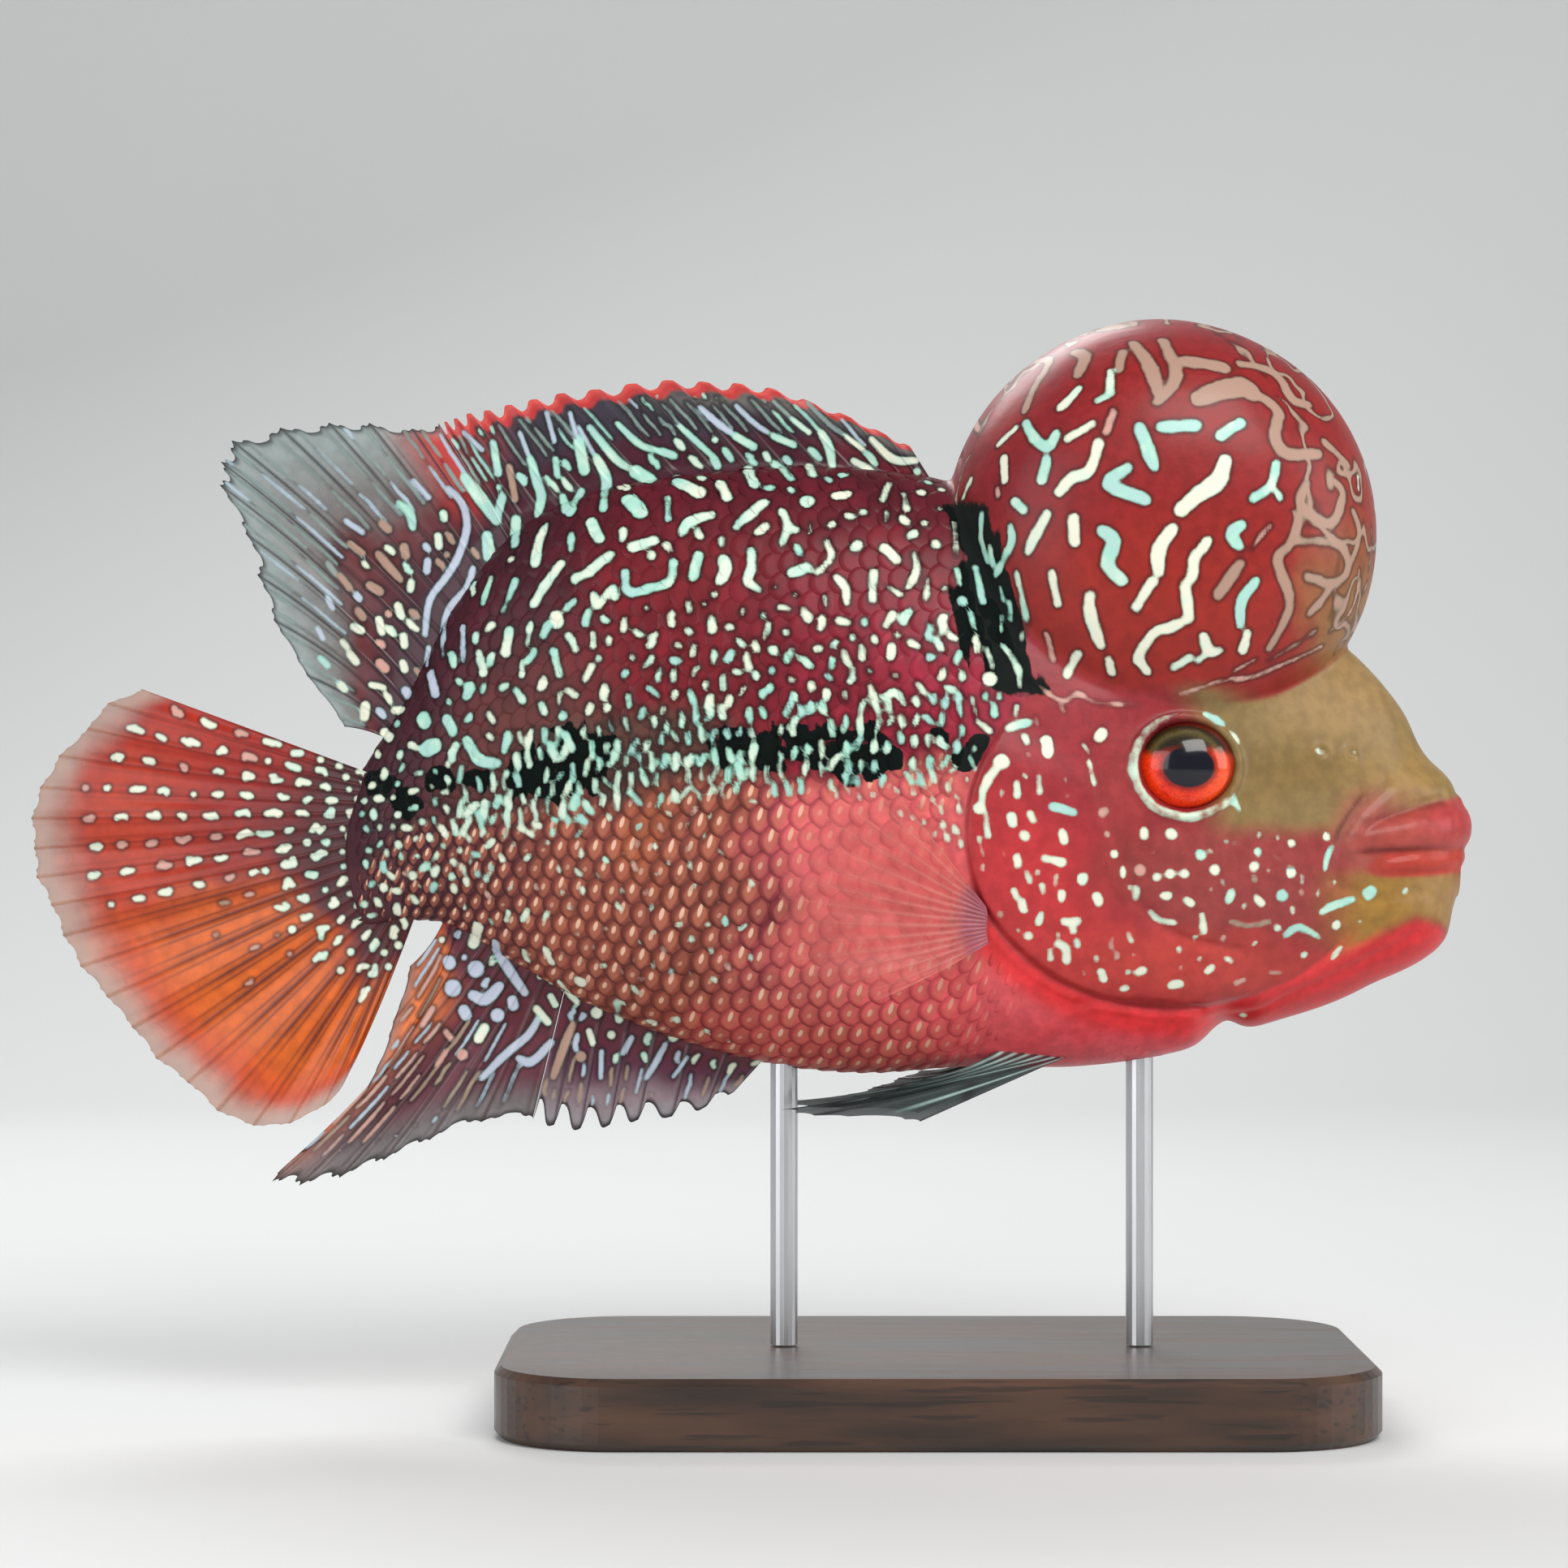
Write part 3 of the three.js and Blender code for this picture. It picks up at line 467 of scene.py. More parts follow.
# Behind them, round the root of the rear fin, on a sheet of 3.261 units, starting at 260, 510.
REAR_MARKS = [
    (LILAC, 34, 955, 300, 1010, 360, 1030, 450, 1000, 560, 950, 650, 880, 748, 862, 885), (LILAC, 34, 1055, 620, 1030, 700, 962, 780, 940, 860, 935, 965), (MINT, 38, 1125, 660, 1095, 760),
    (MINT, 40, 1225, 668, 1176, 792), (MIXED, 48, 1408, 600, 1350, 680, 1300, 762), (MINT, 60, 1110, 490, 1116, 572), (CREAM, 70, 1390, 815, 1395, 835), (MIXED, 58, 1202, 872, 1188, 955),
    (MIXED, 36, 1286, 838, 1274, 925), (CREAM, 48, 1440, 890, 1468, 945), (LILAC, 36, 1015, 855, 1015, 992), (LILAC, 34, 878, 940, 870, 1005), (LILAC, 56, 884, 1045, 906, 1122),
    (MIXED, 44, 1078, 958, 1096, 1042), (MIXED, 26, 1256, 995, 1250, 1052), (MINT, 50, 1378, 955, 1402, 1042), (MINT, 58, 1042, 1098, 1028, 1132), (MINT, 48, 1230, 1115, 1252, 1150),
    (MIXED, 48, 1330, 1165, 1342, 1195), (CREAM, 26, 1405, 1120, 1402, 1165), (MINT, 80, 852, 1222, 862, 1240), (MINT, 56, 950, 1228, 975, 1272), (MINT, 84, 866, 1345, 900, 1335),
    (MINT, 50, 1030, 1308, 1080, 1388, 1152, 1402), (CREAM, 46, 1120, 1205, 1138, 1235), (CREAM, 30, 1240, 1275, 1250, 1315), (MINT, 50, 1425, 1290, 1455, 1345), (MIXED, 34, 1320, 1345, 1330, 1380),
    (LILAC, 34, 815, 270, 875, 335), (MIXED, 44, 935, 400, 938, 420), (MIXED, 44, 914, 490, 918, 530), (LILAC, 44, 872, 590, 868, 630), (TAUPE, 52, 776, 535, 784, 568),
    (MINT, 40, 755, 360, 800, 400, 812, 455), (TAUPE, 50, 690, 440, 712, 462), (MIXED, 42, 806, 675, 802, 705), (TAUPE, 38, 672, 560, 705, 600, 762, 664), (LILAC, 34, 545, 430, 610, 475),
    (TAUPE, 40, 560, 520, 610, 560), (TAUPE, 52, 640, 690, 680, 712), (TAUPE, 40, 520, 650, 560, 700), (CREAM, 46, 752, 770, 766, 810), (CREAM, 46, 676, 825, 688, 875), (TAUPE, 48, 592, 790, 612, 815),
    (CREAM, 46, 775, 892, 778, 928), (CREAM, 46, 575, 855, 606, 870), (ROSE, 54, 680, 1000, 702, 1022), (CREAM, 46, 772, 1000, 780, 1025), (CREAM, 46, 560, 965, 585, 995), (CREAM, 40, 530, 915, 548, 935),
    (CREAM, 36, 645, 1088, 695, 1098), (LILAC, 54, 785, 1112, 798, 1130), (CREAM, 56, 622, 1172, 618, 1215), (CREAM, 46, 740, 1190, 770, 1190), (CREAM, 46, 520, 1085, 540, 1105),
    (CREAM, 56, 700, 1280, 722, 1300), (MINT, 40, 440, 980, 470, 1010), (LILAC, 36, 470, 740, 490, 780), (LILAC, 34, 430, 860, 450, 900), (GREY, 36, 470, 600, 500, 640),
]
# The fin under the tail, on a sheet of 2.459 units, starting at 330, 1100.
ANAL_MARKS = [
    (CREAM, 46, 640, 100, 625, 152), (LILAC, 52, 550, 208, 552, 214), (LILAC, 52, 632, 230), (LILAC, 52, 562, 288), (LILAC, 38, 620, 308, 660, 322, 702, 282),
    (LILAC, 32, 690, 148, 712, 200, 780, 302), (LILAC, 42, 742, 325, 745, 342), (LILAC, 42, 697, 370), (LILAC, 46, 594, 355, 602, 370), (CREAM, 42, 657, 410, 640, 440), (ROSE, 36, 590, 490),
    (CREAM, 32, 780, 175, 790, 205), (CREAM, 32, 843, 170, 862, 208), (CREAM, 44, 948, 268), (CREAM, 26, 885, 268, 940, 332), (CREAM, 30, 815, 350, 850, 392), (CREAM, 38, 998, 362),
    (MIXED, 34, 1060, 330, 1066, 382), (CREAM, 36, 1165, 390), (CREAM, 34, 1240, 382), (CREAM, 30, 1230, 436), (CREAM, 26, 974, 418, 986, 455), (CREAM, 26, 1042, 430), (TAUPE, 34, 950, 495),
    (CREAM, 28, 858, 312, 872, 338), (LILAC, 26, 820, 380, 790, 430, 720, 490, 650, 560), (TAUPE, 28, 926, 398, 900, 460, 866, 556), (LILAC, 28, 860, 452, 800, 512, 762, 500),
    (LILAC, 26, 1102, 440, 1080, 482), (LILAC, 20, 1206, 458, 1178, 510, 1148, 560), (LILAC, 16, 1272, 498, 1230, 556), (LILAC, 20, 1012, 480, 1010, 558), (CREAM, 22, 1330, 415, 1340, 425),
    (ROSE, 20, 1395, 445), (CREAM, 28, 1110, 285, 1125, 300), (CREAM, 28, 730, 60, 725, 80), (CREAM, 26, 790, 50, 775, 80), (CREAM, 24, 850, 55, 838, 82), (CREAM, 20, 1055, 320, 1085, 335),
    (ROSE, 26, 540, 420, 555, 440), (ROSE, 24, 515, 520, 540, 480), (ROSE, 24, 470, 400, 500, 350),
]
# The pale ring of the lid, broken at the top, with its blobs and its pointed lower corner.
RING = [(a, 1.13) for a in range(112, 331, 8)]
marks = Strokes()
TABLES = ((HUMP_MARKS, 2.8, 1150, 380, 1.22), (CHEEK_MARKS, 2.45, 1190, 850, 1.08), (BACK_MARKS, 2.273, 520, 460, 1.0), (REAR_MARKS, 3.261, 260, 510, 0.95), (ANAL_MARKS, 2.459, 330, 1100, 1.0))
for s in (-1, 1):
    for table, scale, x0, y0, wide in TABLES:
        for row in table:
            tint, width, pts = row[0], row[1], np.array(row[2:], float).reshape(-1, 2)
            if s > 0:  # the other side has its own scatter
                pts = pts + rng.normal(0, 9, 2) + rng.normal(0, 5, pts.shape)
            line = [lift(x0 + a / scale, y0 + b / scale, s) for a, b in pts]
            if len(line) > 2:  # rounder bends
                tt = np.linspace(0, len(line) - 1, 4 * (len(line) - 1) + 1)
                line = list(along(np.array(line), tt))
            broad = wide
            if table is HUMP_MARKS:
                broad *= 1.45 if tint == TAUPE and width > 17 else 1.6 if tint == MINT and width < 20 and pts[:, 0].max() < 290 else 1.08
            marks.chain(line, width / scale * PX / 2 * broad, tint, 0.22)

    def around(a, k):
        x, z = EYE["x"] + 8.15 * k * math.cos(math.radians(a)), EYE["z"] + 7.6 * k * math.sin(math.radians(a))
        return np.array([x, s * (width_at(x, z) + 0.2), z])

    ring = [around(a, k) for a, k in RING]
    marks.chain(ring, 0.85, CREAM, 0.3)
    marks.chain([around(a, 1.16) for a in (112, 98, 84, 72)], 0.3, CREAM, 0)
    marks.chain([around(a, 1.2) for a in (70, 58, 50)], 0.95, MINT, 0.2)
    marks.chain([around(a, 1.2) for a in (44, 34, 26)], 0.62, CREAM, 0.2)
    marks.chain([around(328, 1.14), around(322, 1.3), around(319, 1.5)], 0.75, MINT, 0.5)


# -- the body's own small strokes, scattered at even spacing with a direction for each region
def scatter(box, spacing, tries, seed, keep):
    """Points with at least spacing(x, y) between them inside box, in the outline's units."""
    g = np.random.default_rng(seed)
    x0, y0, x1, y1 = box
    cell = 12.0
    grid, out = {}, []
    cand = g.random((tries, 2)) * (x1 - x0, y1 - y0) + (x0, y0)
    sp = spacing(cand[:, 0], cand[:, 1])
    ok = keep(cand[:, 0], cand[:, 1])
    for (x, y), r, good in zip(cand, sp, ok):
        if not good:
            continue
        i, j, m = int(x // cell), int(y // cell), int(r // cell) + 1
        if any(
            (x - u) ** 2 + (y - v) ** 2 < r * r
            for a in range(i - m, i + m + 1)
            for b in range(j - m, j + m + 1)
            for u, v in grid.get((a, b), ())
        ):
            continue
        grid.setdefault((i, j), []).append((x, y))
        out.append((x, y))
    return out


BACK = np.array([(440, 940), (490, 880), (510, 800), (540, 720), (600, 650), (700, 605), (850, 580), (1000, 575), (1150, 585), (1200, 600)], float)
BELLY = np.array([(440, 1140), (560, 1135), (620, 1175), (690, 1225), (770, 1250), (850, 1275), (930, 1300), (1050, 1322), (1200, 1312), (1400, 1315)], float)
back_y = lambda x: np.interp(x, BACK[:, 0], BACK[:, 1])
line_y = lambda x: np.interp(x, [440, 500, 695, 985, 1215, 1300], [1035, 985, 945, 918, 905, 900])
gill_x = lambda y: np.interp(y, [840, 900, 1000, 1090, 1180, 1230], [1262, 1222, 1192, 1196, 1235, 1330])
hump_x = lambda y: np.interp(y, [575, 640, 720, 800, 860], [1165, 1170, 1188, 1225, 1290])


def flank_keep(x, y):
    ok = (y > back_y(x) + 6) & (x > 446) & (x < np.where(y < 850, hump_x(y) - 6, gill_x(y) - 8))
    low = np.interp(x, [440, 560, 640, 760, 900, 1000, 1100, 1200], [1135, 1100, 1050, 990, 985, 968, 1000, 1060])
    return ok & (y < low) & ~((np.abs(y - line_y(x) - 2) < 58) & (x > 552) & (x < 1172))


def flank_space(x, y):
    s = np.full(x.shape, 19.0)
    s = np.where((x < 760) & (y < 850), 20.0, s)
    s = np.where(y > line_y(x) - 50, 15.0, s)
    return s


rest = np.random.default_rng(5)
for s in (-1, 1):
    for x, y in scatter((440, 560, 1270, 1140), flank_space, 26000, 20 + s, flank_keep):
        near = marks.d[tuple(np.round((lift(x, y, s) - LOW) / VOX).astype(int))]
        if near < (0.8 if y > line_y(x) - 50 else 1.75 if y < 765 and x > 520 else 1.2):
            continue
        deep = y - back_y(x)
        rear = float(smooth(760, 620, x)) * float(smooth(60, 0, y - 880))
        if deep < 70:
            ang, length, width = (40 if rest.random() < 0.6 else -35), rest.uniform(2, 9), rest.uniform(8, 11)
        elif deep < 150:
            ang, length, width = (-50 if rest.random() < 0.6 else 65), rest.uniform(3, 14), rest.uniform(7.5, 10.5)
        else:
            ang, length, width = rest.choice([90, 75, -65, 30]), rest.uniform(3, 18), rest.uniform(6.5, 9.5)
        tint = rest.choice([CREAM, MIXED, MINT], p=[0.5, 0.3, 0.2])
        if rear > 0.4 and deep < 240:
            # long wavering lines that follow the rear of the back
            ang, length, width = 100 + rest.normal(0, 12), rest.uniform(5, 16), rest.uniform(7, 10)
            tint = rest.choice([MIXED, MINT, CREAM], p=[0.4, 0.45, 0.15])
        if abs(y - line_y(x)) < 55 and x > 620:
            ang, length, width = 92 + rest.normal(0, 7), rest.uniform(5, 14), rest.uniform(6.2, 8.0)
            tint = rest.choice([MIXED, MINT], p=[0.35, 0.65])
        if x < 620 and y > 830:
            ang, length, width = rest.uniform(0, 180), rest.uniform(1, 10), rest.uniform(6.5, 9.5)
        if y > line_y(x) + 45 and x > 900:
            ang, length, width, tint = 70, rest.uniform(2, 10), rest.uniform(5, 7), CREAM
        a = math.radians(ang + rest.normal(0, 12))
        dx, dy = math.cos(a) * length / 2, math.sin(a) * length / 2
        bow = rest.normal(0, 0.2) * length
        wig = rest.normal(0, 0.12) * length
        pts = [(x - dx, y - dy), (x - dx * 0.35 - dy / max(length, 1) * bow, y - dy * 0.35 + dx / max(length, 1) * bow),
               (x + dx * 0.35 + dy / max(length, 1) * wig, y + dy * 0.35 - dx / max(length, 1) * wig), (x + dx, y + dy)]
        marks.chain([lift(u, v, s) for u, v in pts], width * PX / 2 * (1.18 if y < line_y(x) - 50 else 1.08), tint, 0.1)

# upright dashes in rows along the dark band of the side
band = np.random.default_rng(61)
for s in (-1, 1):
    for row, off in enumerate((-44, -21, 4, 27, 48)):
        x = 560.0 + 8 * (row % 2)
        while x < 1168:
            y = float(line_y(x)) + off + band.normal(0, 3)
            core = off in (-21, 4) and (884 < x < 1092 or 640 < x < 752)
            length = band.uniform(9, 20) * (0.75 if x > 1095 else 1)
            free_ = marks.d[tuple(np.round((lift(x, y, s) - LOW) / VOX).astype(int))] > 0.75
            if free_ and x < gill_x(y) - 12 and band.random() > (0.30 if core else 0.05):
                lean_ = band.normal(0, 1.8)
                pts = [(x - lean_, y - length / 2), (x + band.normal(0, 1.2), y), (x + lean_, y + length / 2)]
                marks.chain([lift(u, v, s) for u, v in pts], band.uniform(8.0, 11.0) * PX / 2, band.choice([MINT, MIXED, MIXED]), 0.15)
            x += 16.5 + band.normal(0, 1.6)
    # small commas on the lower flank
    for x, y in scatter((450, 980, 960, 1290), lambda x, y: np.full(x.shape, 21.0), 9000, 70 + s, lambda x, y: (y > line_y(x) + 62) & (y < np.interp(x, [450, 560, 700, 850, 960], [1110, 1110, 1190, 1220, 1180])) & (x < 930)):
        if band.random() < 0.22 or marks.d[tuple(np.round((lift(x, y, s) - LOW) / VOX).astype(int))] < 0.9:
            continue
        length, lean_ = band.uniform(2, 9), band.normal(0, 2)
        pts = [(x - lean_, y - length / 2), (x + band.normal(0, 1.0), y), (x + lean_, y + length / 2)]
        marks.chain([lift(u, v, s) for u, v in pts], band.uniform(6.2, 8.6) * PX / 2, band.choice([CREAM, MIXED, ROSE, MINT], p=[0.4, 0.3, 0.2, 0.1]), 0.2)

    # finer spots between the larger ones of the cheek and gill cover
    inside_ = lambda x, y: (((x - 1545) / 85) ** 2 + ((y - 1095) / 72) ** 2 < 1) | (((x - 1262) / 58) ** 2 + ((y - 1010) / 150) ** 2 < 1) | ((np.abs(y - 1180 - 0.0016 * (x - 1400) ** 2 * -1) < 26) & (np.abs(x - 1400) < 110))
    for x, y in scatter((1195, 850, 1640, 1215), lambda x, y: np.where(x > 1440, 19.0, 22.0), 5000, 90 + s, inside_):
        if band.random() < 0.2 or marks.d[tuple(np.round((lift(x, y, s) - LOW) / VOX).astype(int))] < 1.0:
            continue
        length = band.uniform(1, 6) if x > 1440 else band.uniform(1, 11)
        a = math.radians(band.uniform(60, 120))
        pts = [(x - math.cos(a) * length / 2, y - math.sin(a) * length / 2), (x + math.cos(a) * length / 2, y + math.sin(a) * length / 2)]
        marks.chain([lift(u, v, s) for u, v in pts], band.uniform(6.6, 9.4) * PX / 2, band.choice([CREAM, MIXED, ROSE], p=[0.55, 0.3, 0.15]), 0.1)


def marks_at(p):
    """Signed distance to the marks and their tint at points p, with uneven edges, and the fine net over the hump's front and top."""
    d = sample(marks.d, p) + 0.62 * (noise(p, 1.9, 2, 21.0) - 0.5)
    t = marks.t[tuple(np.clip(np.round((p - LOW) / VOX).astype(int), 0, np.array(DIM) - 1).T)]
    n = noise(p * np.array([1, 1, 0.8]), 5.4, 2, 17.0)
    net = np.abs(n - 0.5) * 12.5 - 0.52 + 0.5 * (noise(p, 2.2, 1, 5.0) - 0.5)
    px, py = outline_units(p)
    edge = np.interp(py, [390, 470, 560, 650, 740, 830], [1470, 1560, 1592, 1582, 1600, 1640])
    there = np.maximum(smooth(-14, 14, px - edge), smooth(11.5, 8.5, np.abs(p[..., 1])))
    there = there * smooth(0.9, 0.1, np.abs(sample(HUMP_D, p))) * smooth(128, 134, p[..., 2])
    net = net + 3 * (1 - there)
    t = np.where((net < d) & (net < 2), TAUPE, t)
    return np.minimum(d, net), t


# ------------------------------------------------------------------ base colours
def rgb(r, g, b):
    c = np.array([r, g, b], float) / 255
    return np.where(c <= 0.04045, c / 12.92, ((c + 0.055) / 1.055) ** 2.4)


def outline_units(p):
    """Side outline's units of points p, as seen from the side."""
    f = 1 - np.abs(p[..., 1]) / 800.0
    x, z = VIEW[0] + (p[..., 0] - VIEW[0]) / f, VIEW[2] + (p[..., 2] - VIEW[2]) / f
    return x / PX + 1150, 1460 - (z - 40) / PX


def oval(px, py, x, y, rx, ry, soft=0.35):
    return 1 - smooth(1 - soft, 1 + soft, np.sqrt(((px - x) / rx) ** 2 + ((py - y) / ry) ** 2))


def paint(p):
    """Base colour, strength of the dark edge round the marks, black (the flowers, and along the nape folds black
    pigment with painted shade in the folds), and how much of the pale scale pattern there is.
    """
    px, py = outline_units(p)
    n1, n2 = noise(p, 9.0, 2, 2.0) - 0.5, noise(p, 3.2, 2, 9.0) - 0.5
    wx, wy = px + 60 * n1 + 22 * n2, py + 60 * (noise(p, 9.0, 2, 31.0) - 0.5)
    col = np.broadcast_to(rgb(112, 24, 34), p.shape).copy()

    def to(c, w):
        nonlocal col
        w = np.clip(w, 0, 1)[..., None]
        col = col * (1 - w) + rgb(*c) * w

    line = line_y(px)
    deep = wy - back_y(px)
    to((122, 26, 42), smooth(860, 1000, wx) * smooth(60, 180, deep))
    to((150, 34, 56), smooth(1020, 1150, wx) * smooth(120, 260, deep) * (1 - smooth(900, 960, wy)))
    to((74, 16, 32), (1 - smooth(10, 120, deep)) * 0.75)
    to((54, 22, 34), (1 - smooth(640, 800, wx)) * (1 - smooth(150, 300, deep)) * 0.8)
    to((86, 44, 40), (1 - smooth(660, 800, wx)) * smooth(140, 260, deep) * 0.8)
    to((66, 66, 52), oval(wx, wy, 800, 930, 130, 52) * 0.6)
    low = smooth(18, 62, wy - line)
    to((134, 66, 54), low)
    to((92, 40, 44), low * (1 - smooth(560, 700, wx)))
    to((160, 82, 50), low * oval(wx, wy, 795, 1010, 26, 70, 0.6) * 0.75)
    to((200, 92, 92), low * smooth(868, 985, wx + 0.15 * (wy - 1100)))
    to((116, 34, 50), low * np.exp(-(((wx - 950 + 0.1 * (wy - 1100)) / 24) ** 2)) * (1 - smooth(1130, 1260, wy)) * 0.85)
    to((196, 84, 80), low * smooth(1195, 1265, wy) * smooth(760, 900, wx) * 0.7)
    to((226, 104, 110), oval(wx, wy, 1050, 1040, 100, 75, 0.5) * 0.85)
    to((236, 96, 102), oval(wx, wy, 1130, 1150, 95, 120, 0.6) * 0.85)
    to((60, 22, 34), (1 - smooth(520, 600, wx)) * 0.75 * (1 - smooth(1120, 1180, wy) * 0.5))
    # breast
    breast = smooth(1120, 1230, px) * smooth(1165, 1240, wy)
    to((224, 74, 84), breast)
    to((232, 108, 116), breast * smooth(1265, 1315, wy) * 0.8)
    to((214, 92, 96), breast * oval(px, py, 1200, 1240, 110, 50, 0.5) * 0.7)
    # head
    e, free = gill_place(p[..., 0], p[..., 2])
    headness = np.maximum(1 - smooth(0.985, 1.02, e), smooth(1250, 1290, px) * (1 - smooth(1195, 1235, py)))
    headness = headness * smooth(1180, 1200, px)
    to((140, 38, 44), headness)
    to((146, 42, 50), headness * oval(wx, wy, 1290, 960, 90, 110, 0.6) * 0.8)
    to((186, 48, 52), headness * oval(wx, wy, 1250, 1110, 95, 120, 0.6) * 0.85)
    to((178, 50, 50), headness * oval(wx, wy, 1330, 1190, 170, 62, 0.5) * 0.85)
    to((142, 58, 56), headness * oval(wx, wy, 1520, 1085, 125, 68, 0.45) * 0.92)
    to((136, 62, 50), headness * oval(wx, wy, 1370, 1070, 34, 40, 0.8) * 0.35)
    to((180, 62, 54), headness * oval(wx, wy, 1490, 1190, 150, 42, 0.6) * 0.8)
    to((150, 52, 52), headness * oval(wx, wy, 1385, 985, 40, 60, 0.7) * 0.7)
    # red throat and jaw edge
    band = smooth(1.0, 1.03, e) * (1 - smooth(1.1, 1.2, e)) * smooth(180, 205, np.degrees(np.arctan2((p[..., 2] - GILL["z"]) / GILL["rz"], (p[..., 0] - GILL["x"]) / GILL["rx"])) % 360)
    to((232, 58, 62), band * smooth(1160, 1215, px) * smooth(1080, 1140, py))
    jaw = np.interp(px, [1480, 1540, 1600, 1650, 1700, 1745, 1775, 1800], [1236, 1226, 1206, 1180, 1152, 1130, 1138, 1165])
    to((202, 44, 48), smooth(-6, 12, py - jaw) * smooth(1440, 1540, px) * (1 - smooth(1770, 1792, px)))
    # forehead, snout and nose
    snout = smooth(1468, 1530, px + 0.5 * (930 - py) * (py < 930)) * (1 - smooth(1008, 1046, wy * 0.35 + py * 0.65)) * (1 - smooth(1462, 1468, px) * 0)
    to((126, 104, 62), snout)
    to((150, 120, 76), snout * oval(px, py, 1650, 850, 90, 60, 0.8) * 0.8)
    to((118, 92, 46), snout * oval(px, py, 1590, 960, 90, 36, 0.9) * 0.6)
    to((150, 118, 66), snout * oval(px, py, 1740, 960, 60, 45, 0.8) * 0.7)
    to((138, 92, 68), snout * oval(px, py, 1712, 1000, 50, 30, 0.8) * 0.6)
    # round the mouth, and chin
    to((152, 76, 66), oval(px, py, 1688, 1032, 40, 52, 0.5) * 0.9)
    # painted shade: a dark brown line in the crease of the fold of skin beside the mouth
    fold_x = np.interp(py, [978, 1000, 1026, 1050], [1680, 1664, 1648, 1642])
    to((92, 40, 28), np.exp(-(((px - fold_x) / 3.4) ** 2)) * smooth(974, 984, py) * (1 - smooth(1030, 1050, py)) * 0.8)
    chin = smooth(1600, 1680, wx) * smooth(1064, 1084, py) * (1 - smooth(-12, 8, py - jaw))
    to((146, 108, 46), chin * (1 - smooth(1775, 1800, px) * 0.4))
    to((150, 118, 74), chin * oval(px, py, 1775, 1100, 40, 30, 0.7) * 0.7)
    # hump
    onhump = (1 - smooth(0.2, 0.9, sample(HUMP_D, p))) * smooth(-0.35, 0.25, sample(BODY_ONLY, p) - 0.35)
    to((136, 26, 26), onhump)
    to((146, 35, 24), onhump * oval(wx, wy, 1430, 760, 190, 110, 0.6) * 0.8)
    to((120, 25, 36), onhump * oval(wx, wy, 1230, 520, 110, 130, 0.8) * 0.7)
    to((142, 30, 22), onhump * oval(wx, wy, 1225, 500, 40, 40, 0.8) * 0.6)
    to((140, 62, 46), onhump * smooth(1560, 1690, wx) * smooth(480, 700, wy) * 0.7)
    to((140, 104, 58), onhump * oval(wx, wy, 1665, 770, 50, 85, 0.7) * 0.85)
    to((128, 36, 42), onhump * (1 - smooth(400, 470, wy)) * 0.7)
    # lips
    onlips = 1 - smooth(0.25, 1.1, sample(LIPS, p))
    to((164, 70, 62), onlips)
    to((172, 48, 56), onlips * oval(px, py, 1795, 1010, 34, 26, 0.8) * 0.7)
    to((176, 56, 42), onlips * smooth(1040, 1054, py))
    to((140, 62, 54), onlips * (1 - smooth(1670, 1730, px)) * 0.6)

    # painted shade: a dark line along the mouth slit between the lips
    slit = np.interp(px, [1655, 1690, 1740, 1805], [1053, 1048, 1045, 1046])
    to((84, 22, 24), np.exp(-(((py - slit) / 3.6) ** 2)) * smooth(1652, 1672, px) * smooth(1.6, 0.4, sample(LIPS, p)) * (0.8 - 0.6 * smooth(1715, 1790, px)))
    # painted shade: a darker line in the crease over the upper lip
    to((120, 44, 38), np.exp(-(((py - np.interp(px, [1690, 1740, 1780], [1010, 998, 988])) / 4.5) ** 2)) * smooth(1672, 1700, px) * 0.7 * (1 - smooth(1775, 1790, px)))

    # black: along the nape folds under the hump partly black pigment and partly painted shade in the folds; and the row
    # of black flowers along the side
    fold = np.interp(py, [590, 640, 700, 760, 820, 862], [1186, 1200, 1212, 1222, 1238, 1262])
    streak = noise(p * np.array([1.5, 1, 0.36]), 3.6, 2, 4.0)
    nape = smooth(0.0, 0.7, 1.3 - np.abs(px - fold) / 34 + 2.2 * (streak - 0.55)) * smooth(586, 650, py) * (1 - smooth(835, 875, py))
    flower = np.zeros(px.shape)
    for x, y, rx, ry in (
        (1207, 922, 24, 20), (1188, 934, 16, 14), (903, 922, 30, 26), (948, 928, 30, 34), (985, 912, 26, 24), (1030, 930, 36, 34),
        (1072, 926, 30, 30), (1018, 902, 26, 16), (1100, 935, 16, 18), (712, 944, 40, 46), (668, 950, 34, 36), (740, 926, 20, 26),
        (640, 962, 22, 22), (470, 968, 20, 18), (498, 990, 22, 16), (545, 962, 22, 16), (590, 962, 16, 14), (1160, 905, 14, 14),
    ):
        flower = np.maximum(flower, 1.35 - np.sqrt(((px - x) / rx) ** 2 + ((py - y) / ry) ** 2))
    flower = smooth(0.1, 0.55, flower + 1.5 * (noise(p * np.array([1.6, 1, 1]), 2.6, 2, 14.0) - 0.55)) * (flower > 0.02)
    flower = flower * (1 - headness)
    black = np.clip(np.maximum(nape, flower), 0, 1)
    halo = np.clip(0.85 - 0.5 * headness - 0.9 * snout - 0.55 * low - breast, 0, 1)
    halo = np.maximum(halo, 0.72 * onhump)
    pale = np.clip(low * (1 - headness) * (1 - 0.62 * breast) * (1 - smooth(1440, 1500, px)), 0, 1)
    pale = pale * np.clip(1.15 - oval(wx, wy, 1080, 1090, 120, 110, 0.7), 0.15, 1) * (1 - 0.5 * smooth(1080, 1260, px))
    calm = 1 - 0.6 * np.clip(headness + snout + onlips, 0, 1)
    col = col * (1 + (0.28 * n1 + 0.16 * n2) * calm)[..., None]
    return np.clip(col, 0, 1), halo, black, pale


